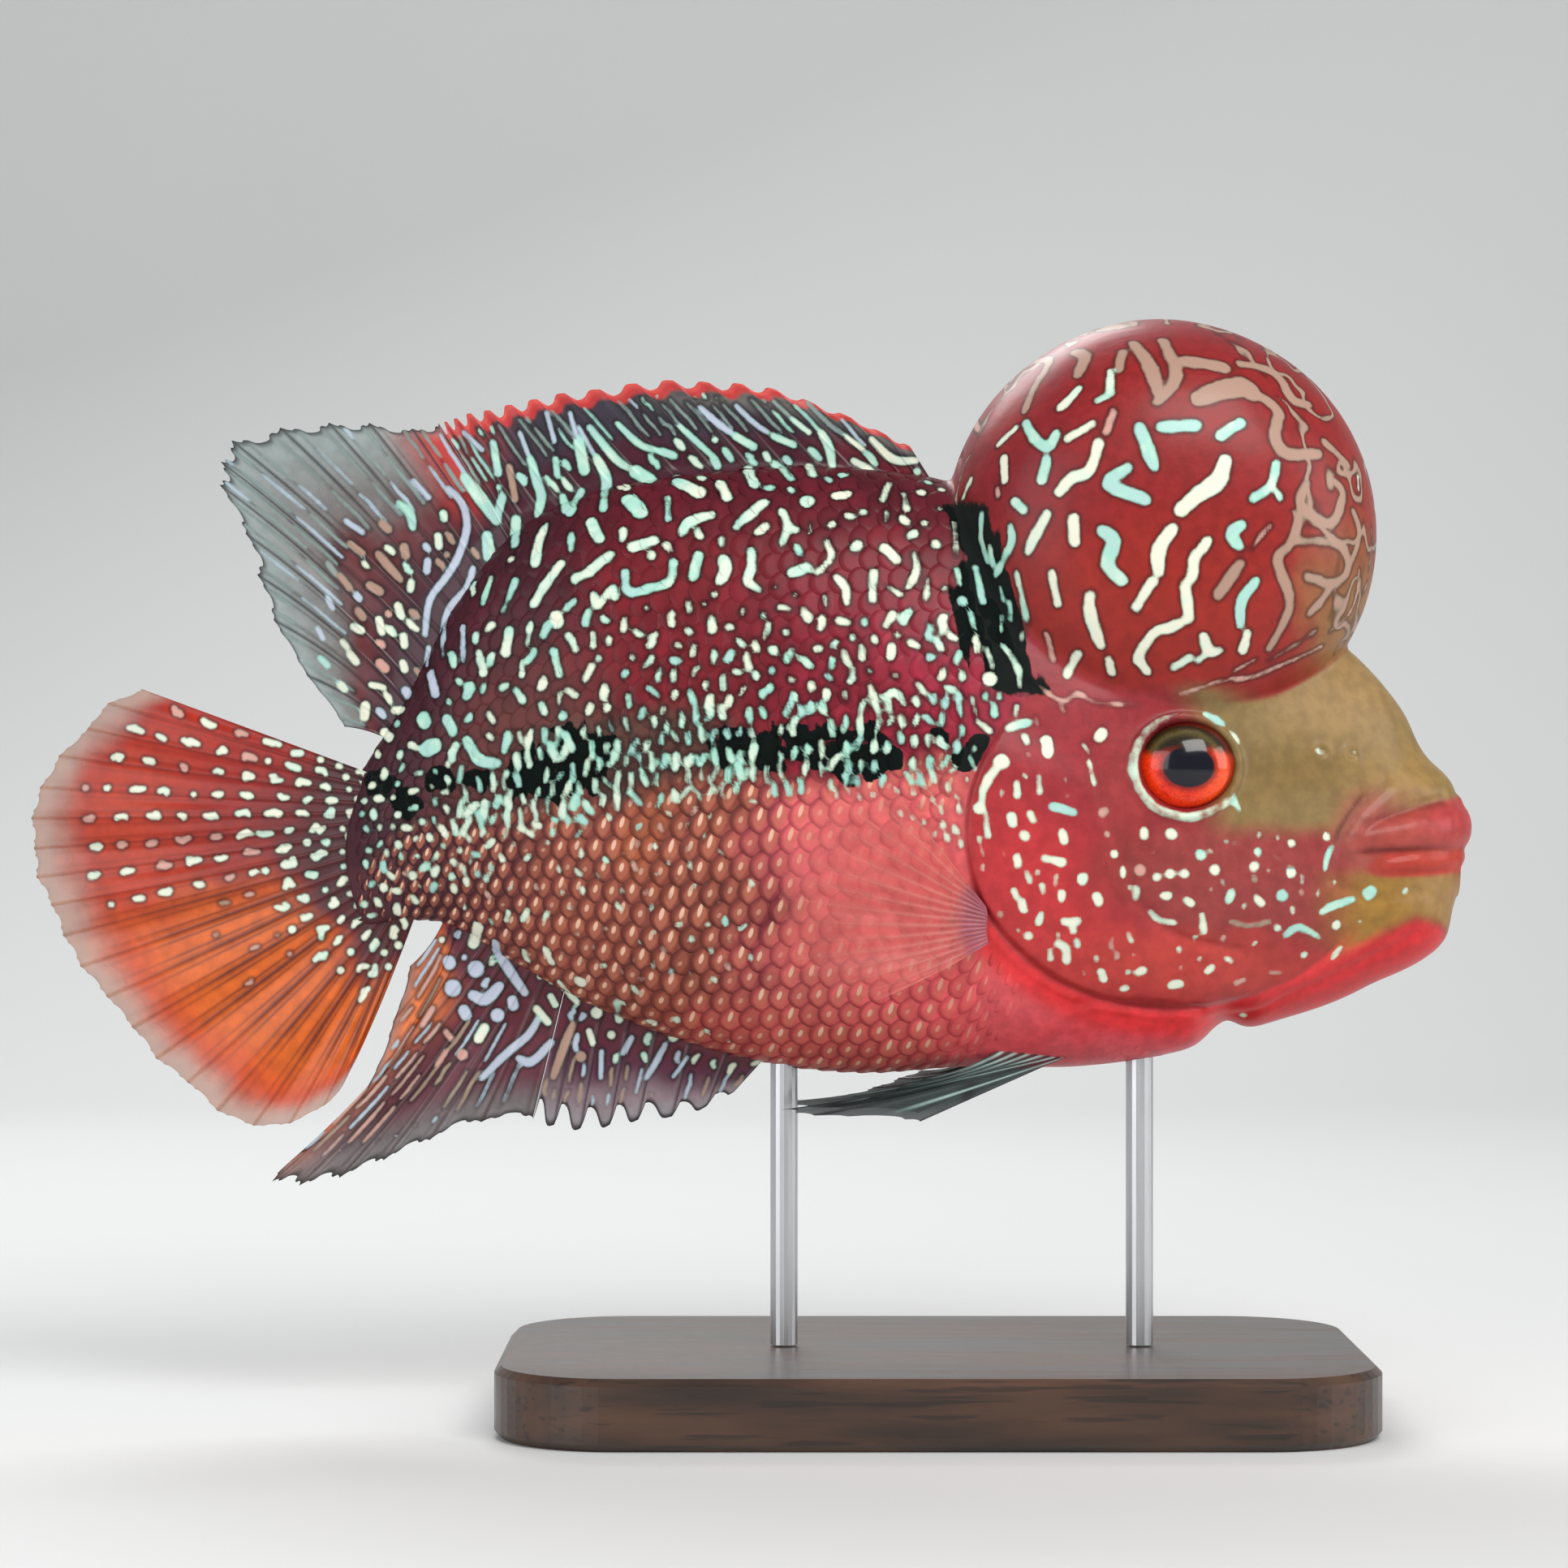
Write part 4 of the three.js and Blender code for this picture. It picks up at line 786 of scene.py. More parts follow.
# ------------------------------------------------------------------ mesh helpers
def mesh(name, verts_mm, faces, attrs=None, uv=None, bent=True, shade=True):
    v = warp(verts_mm) if bent else np.asarray(verts_mm, float)
    v = (v * 0.001).astype(F32)
    faces = np.asarray(faces, np.int32)
    me = bpy.data.meshes.new(name)
    me.vertices.add(len(v))
    me.vertices.foreach_set("co", v.ravel())
    n, k = faces.shape
    me.loops.add(n * k)
    me.loops.foreach_set("vertex_index", faces.ravel())
    me.polygons.add(n)
    me.polygons.foreach_set("loop_start", np.arange(0, n * k, k, dtype=np.int32))
    me.polygons.foreach_set("loop_total", np.full(n, k, np.int32))
    me.update(calc_edges=True)
    me.validate()
    for key, val in (attrs or {}).items():
        val = np.asarray(val, F32)
        if val.ndim == 2 and val.shape[1] == 3 and key == "Col":
            a = me.attributes.new(key, "FLOAT_COLOR", "POINT")
            a.data.foreach_set("color", np.concatenate([val, np.ones((len(val), 1), F32)], 1).ravel())
        elif val.ndim == 2:
            a = me.attributes.new(key, "FLOAT_VECTOR", "POINT")
            a.data.foreach_set("vector", val.ravel())
        else:
            a = me.attributes.new(key, "FLOAT", "POINT")
            a.data.foreach_set("value", val.ravel())
    if uv is not None:
        layer = me.uv_layers.new(name="OFBake")
        layer.data.foreach_set("uv", np.asarray(uv, F32)[faces.ravel()].ravel())
    if shade:
        me.shade_smooth()
    ob = bpy.data.objects.new(name, me)
    bpy.context.collection.objects.link(ob)
    return ob


def outward(v, quads):
    a, b, c, d = [v[quads[:, k]] for k in range(4)]
    vol = np.einsum("ij,ij->i", a, np.cross(b, c)).sum() + np.einsum("ij,ij->i", a, np.cross(c, d)).sum()
    return quads if vol > 0 else quads[:, ::-1]


# ------------------------------------------------------------------ skin
def body_only():
    top, bottom, mid, half = [v.astype(F32) for v in station(GX)]
    dz = Z3 - mid[:, None, None]
    up = dz > 0
    h = np.where(up, (top - mid)[:, None, None], (mid - bottom)[:, None, None])
    q = np.where(up, F32(UP_POW), F32(LOW_POW))
    v = np.abs(dz) / h
    g = (AY / half[:, None, None]) ** 2 + v**q
    gr = np.sqrt((2 * AY / (half[:, None, None] ** 2)) ** 2 + (q * v ** (q - 1) / h) ** 2 + 1e-4)
    return np.clip((g - 1) / gr, -12, 6).astype(F32)


BODY_ONLY = body_only()
grid = openvdb.FloatGrid(3.0)
grid.copyFromArray(np.clip(SKIN, -3, 3))
skin_v, skin_q = grid.convertToQuads(isovalue=0.0)
skin_v = LOW + skin_v.astype(float) * VOX
skin_q = outward(skin_v, skin_q.astype(np.int64))
col, halo, black, pale = paint(skin_v)
skin = mesh(
    "skin",
    skin_v,
    skin_q,
    dict(Col=col, **dict(zip(("mark", "tint"), marks_at(skin_v))),
         halo=halo, black=black, pale=pale, lips=1 - smooth(0.1, 0.7, sample(LIPS, skin_v))),
)

# ------------------------------------------------------------------ scales
NA, A0, DA = 521, -65.0, 0.25
SX = np.arange(-101.5, 66.01, 0.5)


def flank_table():
    top, bottom, mid, half = station(SX)
    th = np.linspace(0, np.pi, 900)
    c, sn = np.cos(th), np.sin(th)
    Y = np.empty((len(SX), NA))
    Z = np.empty((len(SX), NA))
    ends = np.empty((len(SX), 2))
    line = 40 + (1460 - line_y(SX / PX + 1150)) * PX
    for i in range(len(SX)):
        q = np.where(c > 0, UP_POW, LOW_POW)
        h = np.where(c > 0, top[i] - mid[i], mid[i] - bottom[i])
        y, z = sn * half[i], mid[i] + np.sign(c) * np.abs(c) ** (2 / q) * h
        s = np.concatenate([[0], np.cumsum(np.hypot(np.diff(y), np.diff(z)))])
        s0 = np.interp(-line[i], -z, s)
        a = s0 - (A0 + DA * np.arange(NA))
        Y[i], Z[i] = np.interp(a, s, y), np.interp(a, s, z)
        ends[i] = s0 - s[-1], s0
    return Y, Z, ends


FY, FZ, ENDS = flank_table()


def flank(x, a):
    q0 = np.clip((x - SX[0]) / 0.5, 0, len(SX) - 1.001)
    q1 = np.clip((a - A0) / DA, 0, NA - 1.001)
    i, k = q0.astype(int), q1.astype(int)
    f, g = q0 - i, q1 - k
    m = lambda t: t[i, k] * (1 - f) * (1 - g) + t[i + 1, k] * f * (1 - g) + t[i, k + 1] * (1 - f) * g + t[i + 1, k + 1] * f * g
    return np.stack([x, m(FY), m(FZ)], -1)


def flank_normal(x, a):
    dx = flank(x + 0.6, a) - flank(x - 0.6, a)
    da = flank(x, a + 0.6) - flank(x, a - 0.6)
    n = np.cross(dx, da)
    n *= np.sign(n[..., 1:2] + 1e-9)
    return n / (np.linalg.norm(n, axis=-1, keepdims=True) + 1e-9)


def size_at(x):
    return np.interp(x, [-101, -88, -70, -45, 4, 14, 60], [0.56, 0.66, 0.82, 1, 1, 0.78, 0.62])


ROW, STEP = 4.0, 3.4  # between rows, and from scale to scale along a row
N_SIDE = 9
uu, vv = np.meshgrid(np.linspace(-1, 1, N_SIDE + 1), np.linspace(-1, 1, N_SIDE + 1), indexing="ij")
uu = np.sign(uu) * np.abs(uu) ** 0.9
DX, DY = uu * np.sqrt(1 - vv**2 / 2), vv * np.sqrt(1 - uu**2 / 2)
DR = np.sqrt(DX**2 + DY**2)


def scales(s):
    centres = []
    x, k = 60.0, 0
    while x > -99.5:
        z = size_at(x)
        lo, hi = np.interp(x, SX, ENDS[:, 0]), np.interp(x, SX, ENDS[:, 1])
        pitch = 2 * ROW * z
        m0 = int(np.floor(lo / pitch)) - 1
        m1 = int(np.ceil(hi / pitch)) + 1
        for m in range(m0, m1 + 1):
            a = (m + 0.5 * (k % 2)) * pitch
            if lo - 0.6 < a < hi - 0.4:
                centres.append((x, a, z))
        x -= STEP * z / 2
        k += 1
    c = np.array(centres)
    g = np.random.default_rng(50 + s)
    c[:, 0] += g.normal(0, 0.1, len(c)) * c[:, 2]
    c[:, 1] += g.normal(0, 0.1, len(c)) * c[:, 2]
    p = flank(c[:, 0], c[:, 1]) * [1, s, 1]
    px, py = outline_units(p)
    e, _ = gill_place(p[:, 0], p[:, 2])
    keep = (sample(HUMP_D, p) > 0.8) & ((e > 1.045) | (p[:, 0] < 3)) & (py < 1345)
    ahead = (p[:, 0] > 5) & (p[:, 2] > 96)
    keep &= ~(ahead & (sample(HUMP_D, p) < 2.0)) & ~((p[:, 0] > 12) & (p[:, 2] > 90))
    keep &= (px < 1425) & (np.abs(sample(BODY, p)) < 1.5)
    c, p = c[keep], p[keep]
    n = len(c)
    rnd = g.random(n)
    z = c[:, 2][:, None, None]
    L, W = 3.25 * z, 3.1 * z
    tilt = g.normal(0, 0.05, n)[:, None, None]
    P = DX * L * (1 - 0.10 * DY**2)
    Q = DY * W + tilt * P
    xx = c[:, 0][:, None, None] - P
    grow = size_at(xx) / z
    aa = c[:, 1][:, None, None] * grow + Q
    lo, hi = np.interp(xx, SX, ENDS[:, 0]), np.interp(xx, SX, ENDS[:, 1])
    aa = np.clip(aa, lo + 0.02, hi - 0.02)
    base = flank(xx, aa)
    nor = flank_normal(xx, aa)
    t = (DX + 1) / 2
    calm = 1 - 0.45 * smooth(-20, 20, c[:, 0])[:, None, None]
    rise = -0.28 + 0.60 * t * z * calm + 0.10 * (1 - DY**2) * t - 0.14 * smooth(0.86, 1.0, DR) + (rnd[:, None, None] - 0.5) * 0.08
    v = base + nor * rise[..., None]
    v = v * [1, s, 1]
    N = N_SIDE + 1
    cells = np.array([[i * N + j, (i + 1) * N + j, (i + 1) * N + j + 1, i * N + j + 1] for i in range(N_SIDE) for j in range(N_SIDE)])
    faces = (cells[None] + (np.arange(n) * N * N)[:, None, None]).reshape(-1, 4)
    if s > 0:
        faces = faces[:, ::-1]
    flat = v.reshape(-1, 3)
    # colours are taken where the scale lies, so that coat and skin match
    col, halo, black, pale = paint(flat)
    shade = np.repeat(0.86 + 0.28 * rnd, N * N)
    sc = np.stack([np.tile(DX.ravel(), n), np.tile(DY.ravel(), n), np.repeat(rnd, N * N)], -1)
    u = 0.02 + 0.96 * (c[:, 0] + 103) / 168
    w = 0.02 + 0.96 * (c[:, 1] + 66) / 128
    uv = np.stack([np.repeat(u, N * N) - sc[:, 0] * 0.0015, np.repeat(w, N * N) + sc[:, 1] * 0.0015], -1)
    dist, tint = marks_at(flat)
    ob = mesh(
        "scales_right" if s < 0 else "scales_left",
        flat,
        faces,
        dict(Col=np.clip(col * shade[:, None], 0, 1), mark=dist, tint=tint, halo=halo, black=black, pale=pale, sc=sc),
        uv,
    )
    print(ob.name, n, "scales", len(faces) * 2, "triangles")
    return ob


coat = [scales(-1), scales(1)]

# ------------------------------------------------------------------ fins
FLOW, FSTEP = np.array([-162.0, 36.0]), 0.2
FDIM = (840, 760)


class Flat:
    """Signed distance to strokes on a fin's own plane."""

    def __init__(self):
        self.d = np.full(FDIM, 3.0, F32)
        self.t = np.zeros(FDIM, F32)
        self.x = (FLOW[0] + FSTEP * np.arange(FDIM[0])).astype(F32)[:, None]
        self.z = (FLOW[1] + FSTEP * np.arange(FDIM[1])).astype(F32)[None, :]

    def seg(self, p, q, ra, rb, tint):
        m = max(ra, rb) + 1.2
        lo = np.maximum(np.floor((np.minimum(p, q) - m - FLOW) / FSTEP).astype(int), 0)
        hi = np.minimum(np.ceil((np.maximum(p, q) + m - FLOW) / FSTEP).astype(int) + 1, FDIM)
        if (hi <= lo).any():
            return
        sl = (slice(lo[0], hi[0]), slice(lo[1], hi[1]))
        x, z, d = self.x[sl[0]] - p[0], self.z[:, sl[1]] - p[1], q - p
        t = np.clip((x * d[0] + z * d[1]) / max(1e-6, float(d @ d)), 0, 1)
        r = np.sqrt((x - t * d[0]) ** 2 + (z - t * d[1]) ** 2) - (ra + (rb - ra) * t)
        cur = self.d[sl]
        near = r < cur
        cur[near] = r[near]
        self.t[sl][near] = tint

    def chain(self, pts, radius, tint, taper=0.3):
        pts = [np.asarray(p, float) for p in pts]
        n = len(pts)
        if n == 1:
            return self.seg(pts[0], pts[0], radius, radius, tint)
        prof = lambda k: radius * (1 - taper * abs(2 * k / (n - 1) - 1) ** 2)
        for k in range(n - 1):
            self.seg(pts[k], pts[k + 1], prof(k), prof(k + 1), tint)

    def at(self, x, z):
        q0, q1 = np.clip((x - FLOW[0]) / FSTEP, 0, FDIM[0] - 1.001), np.clip((z - FLOW[1]) / FSTEP, 0, FDIM[1] - 1.001)
        i, k = q0.astype(int), q1.astype(int)
        a, b = q0 - i, q1 - k
        d = self.d
        v = d[i, k] * (1 - a) * (1 - b) + d[i + 1, k] * a * (1 - b) + d[i, k + 1] * (1 - a) * b + d[i + 1, k + 1] * a * b
        return v, self.t[np.round(q0).astype(int), np.round(q1).astype(int)]


def fin_point(rows, u, v, bow=0.0):
    """Place on a fin: u along its base in 0..1, v from base to edge."""
    r = along(rows, np.asarray(u) * (len(rows) - 1))
    bx, bz, tx, tz = r[..., 0], r[..., 1], r[..., 2], r[..., 3]
    long = np.hypot(tx - bx, tz - bz)
    nx, nz = -(tz - bz) / long, (tx - bx) / long
    c = bow * u * 4 * v * (1 - v) * long
    return bx + (tx - bx) * v + nx * c, bz + (tz - bz) * v + nz * c, long


def fin(name, rows, rays, colour, strokes=None, spiny=False, notch=0.02, bow=0.0, root=1.4, dip=2.6, lean=None, wave=0.3, fine=9, length=26, membrane=0.1, ridge=0.26, seed=1, side_sign=1):
    g = np.random.default_rng(seed)
    nu, nv = rays * fine, int(length / 0.55)
    u1 = np.linspace(0, 1, nu + 1)
    ray = u1 * rays
    frac = ray - np.floor(ray)
    near = np.minimum(frac, 1 - frac)
    if spiny:
        drop = smooth(0.02, 0.80, frac) * (1 - smooth(0.86, 0.99, frac))
        drop = drop - 0.35 * np.exp(-(((frac - 0.3) / 0.2) ** 2))
    else:
        drop = np.sin(np.pi * frac) ** 0.8 - 0.45 * np.exp(-(((near - 0.25) / 0.07) ** 2))
    ragged = np.interp(ray, np.arange(rays + 1), g.normal(0, 0.012, rays + 1))
    reach = 1 - notch * drop + ragged
    w1 = np.linspace(0, 1, nv + 1)
    U, W = np.meshgrid(u1, w1, indexing="ij")
    FR, RAY = np.broadcast_to(frac[:, None], U.shape), np.broadcast_to(ray[:, None], U.shape)
    _, _, long = fin_point(rows, U, 0 * U, bow)
    V = W * reach[:, None] - (1 - W) * dip / long
    X, Z, _ = fin_point(rows, U, V, bow)
    width_mm = np.gradient(X, axis=0) ** 2 + np.gradient(Z, axis=0) ** 2
    cell = np.sqrt(width_mm) * fine  # mm between rays here
    off = np.minimum(FR, 1 - FR) * cell
    strong = ridge * (1 - 0.72 * np.clip(V, 0, 1))
    th = membrane + strong * np.exp(-((off / 0.33) ** 2))
    if not spiny:
        split = smooth(0.35, 0.6, V)
        for k in (0.24, 0.76):
            th = th + 0.5 * split * strong * np.exp(-((np.abs(FR - k) * cell / 0.28) ** 2))
        segs = 0.5 + 0.5 * np.cos(V * long / 0.9 * 2 * np.pi)
        th = th + 0.04 * segs * np.exp(-((off / 0.3) ** 2)) * (V > 0.3)
    th = th + root * (1 - smooth(-0.05, 0.16, V)) * 0.8
    th = th * (1 - 0.55 * smooth(0.9, 1.0, W)) * (1 - 0.6 * (U < 1e-6) - 0.6 * (U > 1 - 1e-6))
    sway = wave * np.sin(RAY * 1.9 + 2.3 * V) * smooth(0.1, 0.7, V) + 0.10 * np.sin(FR * 2 * np.pi) * smooth(0.15, 0.6, V)
    mid = sway + (lean(U, V) if lean else 0)
    front, back = np.stack([X, mid - th, Z], -1), np.stack([X, mid + th, Z], -1)
    n1, m = nu + 1, nv + 1
    verts = np.concatenate([front.reshape(-1, 3), back.reshape(-1, 3)])
    i, j = np.meshgrid(np.arange(nu), np.arange(nv), indexing="ij")
    a = (i * m + j).ravel()
    o = n1 * m
    f1 = np.stack([a, a + m, a + m + 1, a + 1], -1)
    f2 = np.stack([a, a + 1, a + m + 1, a + m], -1) + o
    rim = []
    for idx, flip in ((np.arange(nu + 1) * m, 0), (np.arange(nu + 1) * m + nv, 1), (np.arange(m), 1), (nu * m + np.arange(m), 0)):
        p, q = idx[:-1], idx[1:]
        f = np.stack([p, p + o, q + o, q], -1)
        rim.append(f[:, ::-1] if flip else f)
    faces = np.concatenate([f1, f2] + rim)
    faces = outward(verts, faces)
    px, py = X / PX + 1150, 1460 - (Z - 40) / PX
    dist = strokes.at(X, Z) if strokes else (np.full(X.shape, 3.0), np.zeros(X.shape))
    col, alpha, halo = colour(dict(u=U, v=V, w=W, frac=FR, ray=RAY, px=px, py=py, off=off, cell=cell, p=np.stack([X, 0 * X, Z], -1)))
    two = lambda q: np.concatenate([q.reshape(-1, *q.shape[2:])] * 2)
    lit = np.exp(-((off / 0.30) ** 2))
    return mesh(name, verts, faces, dict(Col=np.clip(two(col), 0, 1), alpha=two(alpha), halo=two(halo), mark=two(dist[0]), tint=two(dist[1]), ray=two(lit)))


def layers(first, *rest_):
    """Colours laid over one another by weights."""
    col = rgb(*first)
    for c, w in rest_:
        w = np.clip(w, 0, 1)[..., None]
        col = col * (1 - w) + rgb(*c) * w
    return col


DORSAL_SPINY = [[1.4, 160.3, -4, 168.9], [-9.9, 163.2, -23.4, 177.5], [-29.7, 163.9, -43.9, 180.2], [-51, 161.8, -65.1, 177.8], [-66.6, 156.9, -79.3, 174.8], [-73.8, 152.5, -86, 172.6]]
DORSAL_SOFT = [[-73.8, 152.4, -86, 172.5], [-78, 147.9, -96.3, 172.8], [-81.7, 141.7, -109, 173.1], [-85.2, 134.7, -123.2, 169.6], [-87.8, 129, -124.9, 163.2], [-90.3, 124.3, -117.8, 149], [-92.5, 120.5, -114, 136.3], [-94.9, 117.7, -102.7, 120]]
ANAL_SPINY = [[-29, 62.6, -34.7, 56.3], [-38.2, 65.2, -41.8, 53], [-46.7, 68, -50.3, 51.9], [-53.8, 70, -57.4, 50.2], [-60.2, 72, -64.3, 50.2], [-64.3, 73.7, -69.8, 51.4]]
ANAL_SOFT = [[-64.4, 73.8, -69.9, 51.5], [-68.7, 76.1, -81.4, 50.2], [-71.5, 77.8, -92, 46], [-73.9, 79.6, -101.2, 42.4], [-76.2, 81.1, -110.5, 40], [-78.2, 82.8, -115.4, 41.3], [-81.7, 85.3, -101.5, 52.5], [-83.3, 86.4, -94.9, 66.2], [-85, 87, -91.3, 78.2]]
CAUDAL = [[-99.8, 112.5, -137.6, 126.4], [-99.1, 109.7, -149, 120], [-98.4, 106.6, -155.1, 109.4], [-97.7, 103.4, -156.5, 98.8], [-96.9, 100.3, -153.6, 88.9], [-96, 97.2, -148.7, 78.2], [-95.2, 94.1, -140.2, 67.2], [-94.3, 91.3, -130.3, 57.7], [-93.3, 88.4, -118.2, 50.9], [-92.3, 86.2, -106.2, 53.9], [-91.3, 84.4, -101, 61.2]]
PECTORAL = [[6.4, 91.6, -8.5, 110.5], [6.2, 90.2, -19.8, 108], [6, 88.6, -25.2, 99.5], [5.8, 86.8, -26.5, 91], [5.8, 85, -24.8, 82.5], [6, 83.2, -19.5, 76.3], [6.4, 81.6, -10.5, 73.4]]
PELVIC = [[20.5, 61.8, -3, 51.6], [18.2, 62.2, -28, 53.4], [15.5, 62.6, -17, 54.8], [12.5, 62.9, -8.5, 57.2], [9.5, 63.1, -2, 59.4]]


def dashes(flat, rows, lane, v0, v1, size, gap, radius, tints, g, bow=0.0, wiggle=0.12, skip=0.0):
    """Strokes laid end to end along one lane of a fin, running with its rays."""
    *_, long = fin_point(rows, np.array(lane), np.array(0.0), bow)
    long = float(long)
    v = v0 + g.uniform(0, gap) / long
    while v < v1:
        ln = g.uniform(*size) / long
        e = min(v + ln, v1)
        x, z, _ = fin_point(rows, np.array(lane), np.array((v + e) / 2), bow)
        taken = float(flat.at(np.array(float(x)), np.array(float(z)))[0]) < radius + 0.45
        if g.random() >= skip and not taken:
            pts = []
            for k in np.linspace(0, 1, 4):
                x, z, _ = fin_point(rows, np.array(lane), np.array(v + (e - v) * k), bow)
                pts.append((float(x) + g.normal(0, wiggle), float(z) + g.normal(0, wiggle)))
            flat.chain(pts if e - v > 0.9 / long else pts[:1], radius * g.uniform(0.85, 1.2), g.choice(tints), 0.25)
        v = e + (gap * g.uniform(0.7, 1.3) + 2 * radius) / long


fg = np.random.default_rng(41)
dorsal, anal, tail = Flat(), Flat(), Flat()
soft = dorsal
for flat_, tables in ((dorsal, TABLES[2:4]), (anal, TABLES[4:])):
    for table, scale, x0, y0, wide in tables:
        for row in table:
            tint, width, pts = row[0], row[1], np.array(row[2:], float).reshape(-1, 2)
            line = np.stack(side(x0 + pts[:, 0] / scale, y0 + pts[:, 1] / scale), -1)
            if len(line) > 2:
                line = along(line, np.linspace(0, len(line) - 1, 4 * (len(line) - 1) + 1))
            flat_.chain(list(line), width / scale * PX / 2 * wide, tint, 0.25)
SP = 17
for k in range(SP * 2):
    lane = (k + 0.5) / (SP * 2)
    dashes(dorsal, DORSAL_SPINY, lane, -0.1, 0.4, (1.2, 3.0), 1.3, 0.6, [MINT, MIXED], fg, wiggle=0.15)
for k in range(SP * 3):
    lane = (k + 0.5) / (SP * 3)
    dashes(dorsal, DORSAL_SPINY, lane, 0.46, 0.86, (4.0, 9.0), 0.9, 0.30, [LILAC, GREY, MINT, GREY], fg, wiggle=0.12)
for k in range(12 * 2):
    lane = (k + 0.5) / 24
    dashes(soft, DORSAL_SOFT, lane, -0.05, 0.44 - 0.12 * lane, (0.6, 2.2), 1.3, 0.60, [CREAM, MIXED, TAUPE, LILAC, ROSE], fg, -0.05, 0.12)
    dashes(soft, DORSAL_SOFT, lane, 0.45, 0.96, (5, 12), 1.0, 0.34, [GREY, GREY, LILAC], fg, -0.05, 0.06, 0.1)
for k in range(7 * 2):
    lane = (k + 0.5) / 14
    dashes(anal, ANAL_SPINY, lane, -0.1, 0.42, (0.8, 2.0), 1.4, 0.52, [CREAM, LILAC, MIXED], fg, 0, 0.2)
    dashes(anal, ANAL_SPINY, lane, 0.45, 0.8, (2.0, 5.0), 0.9, 0.34, [LILAC, TAUPE], fg, 0, 0.1)
for k in range(10 * 2):
    lane = (k + 0.5) / 20
    dashes(anal, ANAL_SOFT, lane, -0.06, 0.22, (0.5, 1.4), 1.5, 0.56, [LILAC, CREAM, LILAC], fg, 0.06, 0.2)
    dashes(anal, ANAL_SOFT, lane, 0.28, 0.86, (4, 11), 1.3, 0.30, [ROSE, TAUPE, LILAC, ROSE] if lane > 0.4 else [LILAC, TAUPE], fg, 0.06, 0.08, 0.1)
for k in range(18):
    lane = (k + 0.5) / 18
    dashes(tail, CAUDAL, lane, -0.05, 0.30 + 0.12 * fg.random(), (0.5, 1.8), 1.9, 0.62, [CREAM, CREAM, MIXED], fg, 0.01, 0.3)
    if lane < 0.46:
        dashes(tail, CAUDAL, lane, 0.34, 0.88 - 0.3 * max(0, lane - 0.3), (0.8, 2.2), 2.7, 0.60, [CREAM, ROSE, CREAM], fg, 0.01, 0.22)
    elif lane < 0.75:
        dashes(tail, CAUDAL, lane, 0.40, 0.60, (0.5, 1.2), 3.0, 0.42, [ROSE, TAUPE], fg, 0.01, 0.2, 0.5)


def c_dorsal(f):
    px, v, fr = f["px"], f["v"], f["frac"]
    n = noise(f["p"], 5.0, 2, 3.0) - 0.5
    col = layers(
        (66, 14, 34), ((104, 18, 34), smooth(960, 1120, px) * (1 - smooth(0.5, 0.8, v))), ((50, 42, 56), smooth(0.3, 0.65, v + 0.3 * n)), ((118, 114, 106), smooth(0.6, 0.85, v) * smooth(740, 900, px) * 0.75),
        ((92, 30, 48), smooth(650, 560, px) * 0), ((150, 34, 40), (1 - smooth(560, 650, px)) * smooth(0.2, 0.6, v)),
        ((30, 18, 26), np.exp(-(((v - 0.87) / 0.02) ** 2)) * 0.4),
    )
    edge = smooth(0.885, 0.925, f["w"] + 0.01 * n)
    red = layers((184, 44, 44), ((212, 84, 74), smooth(0.95, 1.0, f["w"])))
    col = col * (1 - edge[..., None]) + red * edge[..., None]
    col = col * (1 - 0.35 * np.exp(-((f["off"] / 0.3) ** 2)) * (1 - edge))[..., None]
    return col, 0.97 - 0.1 * smooth(0.5, 0.9, v), np.clip(0.9 - edge, 0, 1)


def c_soft(f):
    v, u = f["v"], f["u"]
    n = noise(f["p"], 6.0, 2, 8.0) - 0.5
    out = smooth(0.38, 0.66, v + 0.22 * n)
    red = (1 - smooth(0.04, 0.2, u)) * smooth(0.15, 0.5, v) * (1 - smooth(0.86, 0.97, v) * 0.5)
    col = layers((62, 18, 36), ((96, 40, 44), smooth(0.12, 0.4, v)), ((112, 112, 110), out), ((150, 168, 166), smooth(0.62, 0.95, v) * 0.7), ((176, 46, 42), red))
    dark = np.maximum(np.exp(-((f["off"] / 0.30) ** 2)), 0.75 * fork(f, 0.24, 0.3))
    col = layers_on(col, (26, 22, 28), dark * (0.85 - 0.3 * (1 - out)))
    edge = smooth(0.965, 1.0, f["w"])
    col = layers_on(col, (24, 22, 26), edge * 0.85)
    alpha = 0.98 - 0.36 * out * (1 - np.clip(dark, 0, 1)) * (1 - edge * 0.7) * (1 - red)
    return col, alpha, 0.9 * (1 - out)


def layers_on(col, c, w):
    w = np.clip(w, 0, 1)[..., None]
    return col * (1 - w) + rgb(*c) * w


def c_anal_spiny(f):
    v = f["v"]
    n = noise(f["p"], 5.0, 2, 8.0) - 0.5
    out = smooth(0.45, 0.8, v + 0.2 * n)
    col = layers((92, 26, 44), ((84, 34, 58), smooth(0.2, 0.5, v)), ((128, 100, 110), out), ((138, 138, 142), smooth(0.75, 0.95, v) * 0.6))
    dark = np.exp(-((f["off"] / 0.36) ** 2))
    col = layers_on(col, (34, 20, 30), dark * 0.8)
    edge = smooth(0.94, 0.985, f["w"])
    col = layers_on(col, (18, 16, 20), edge * 0.9)
    return col, 0.98 - 0.30 * out * (1 - edge) * (1 - np.clip(dark, 0, 1)), 0.9 * (1 - 0.7 * out)


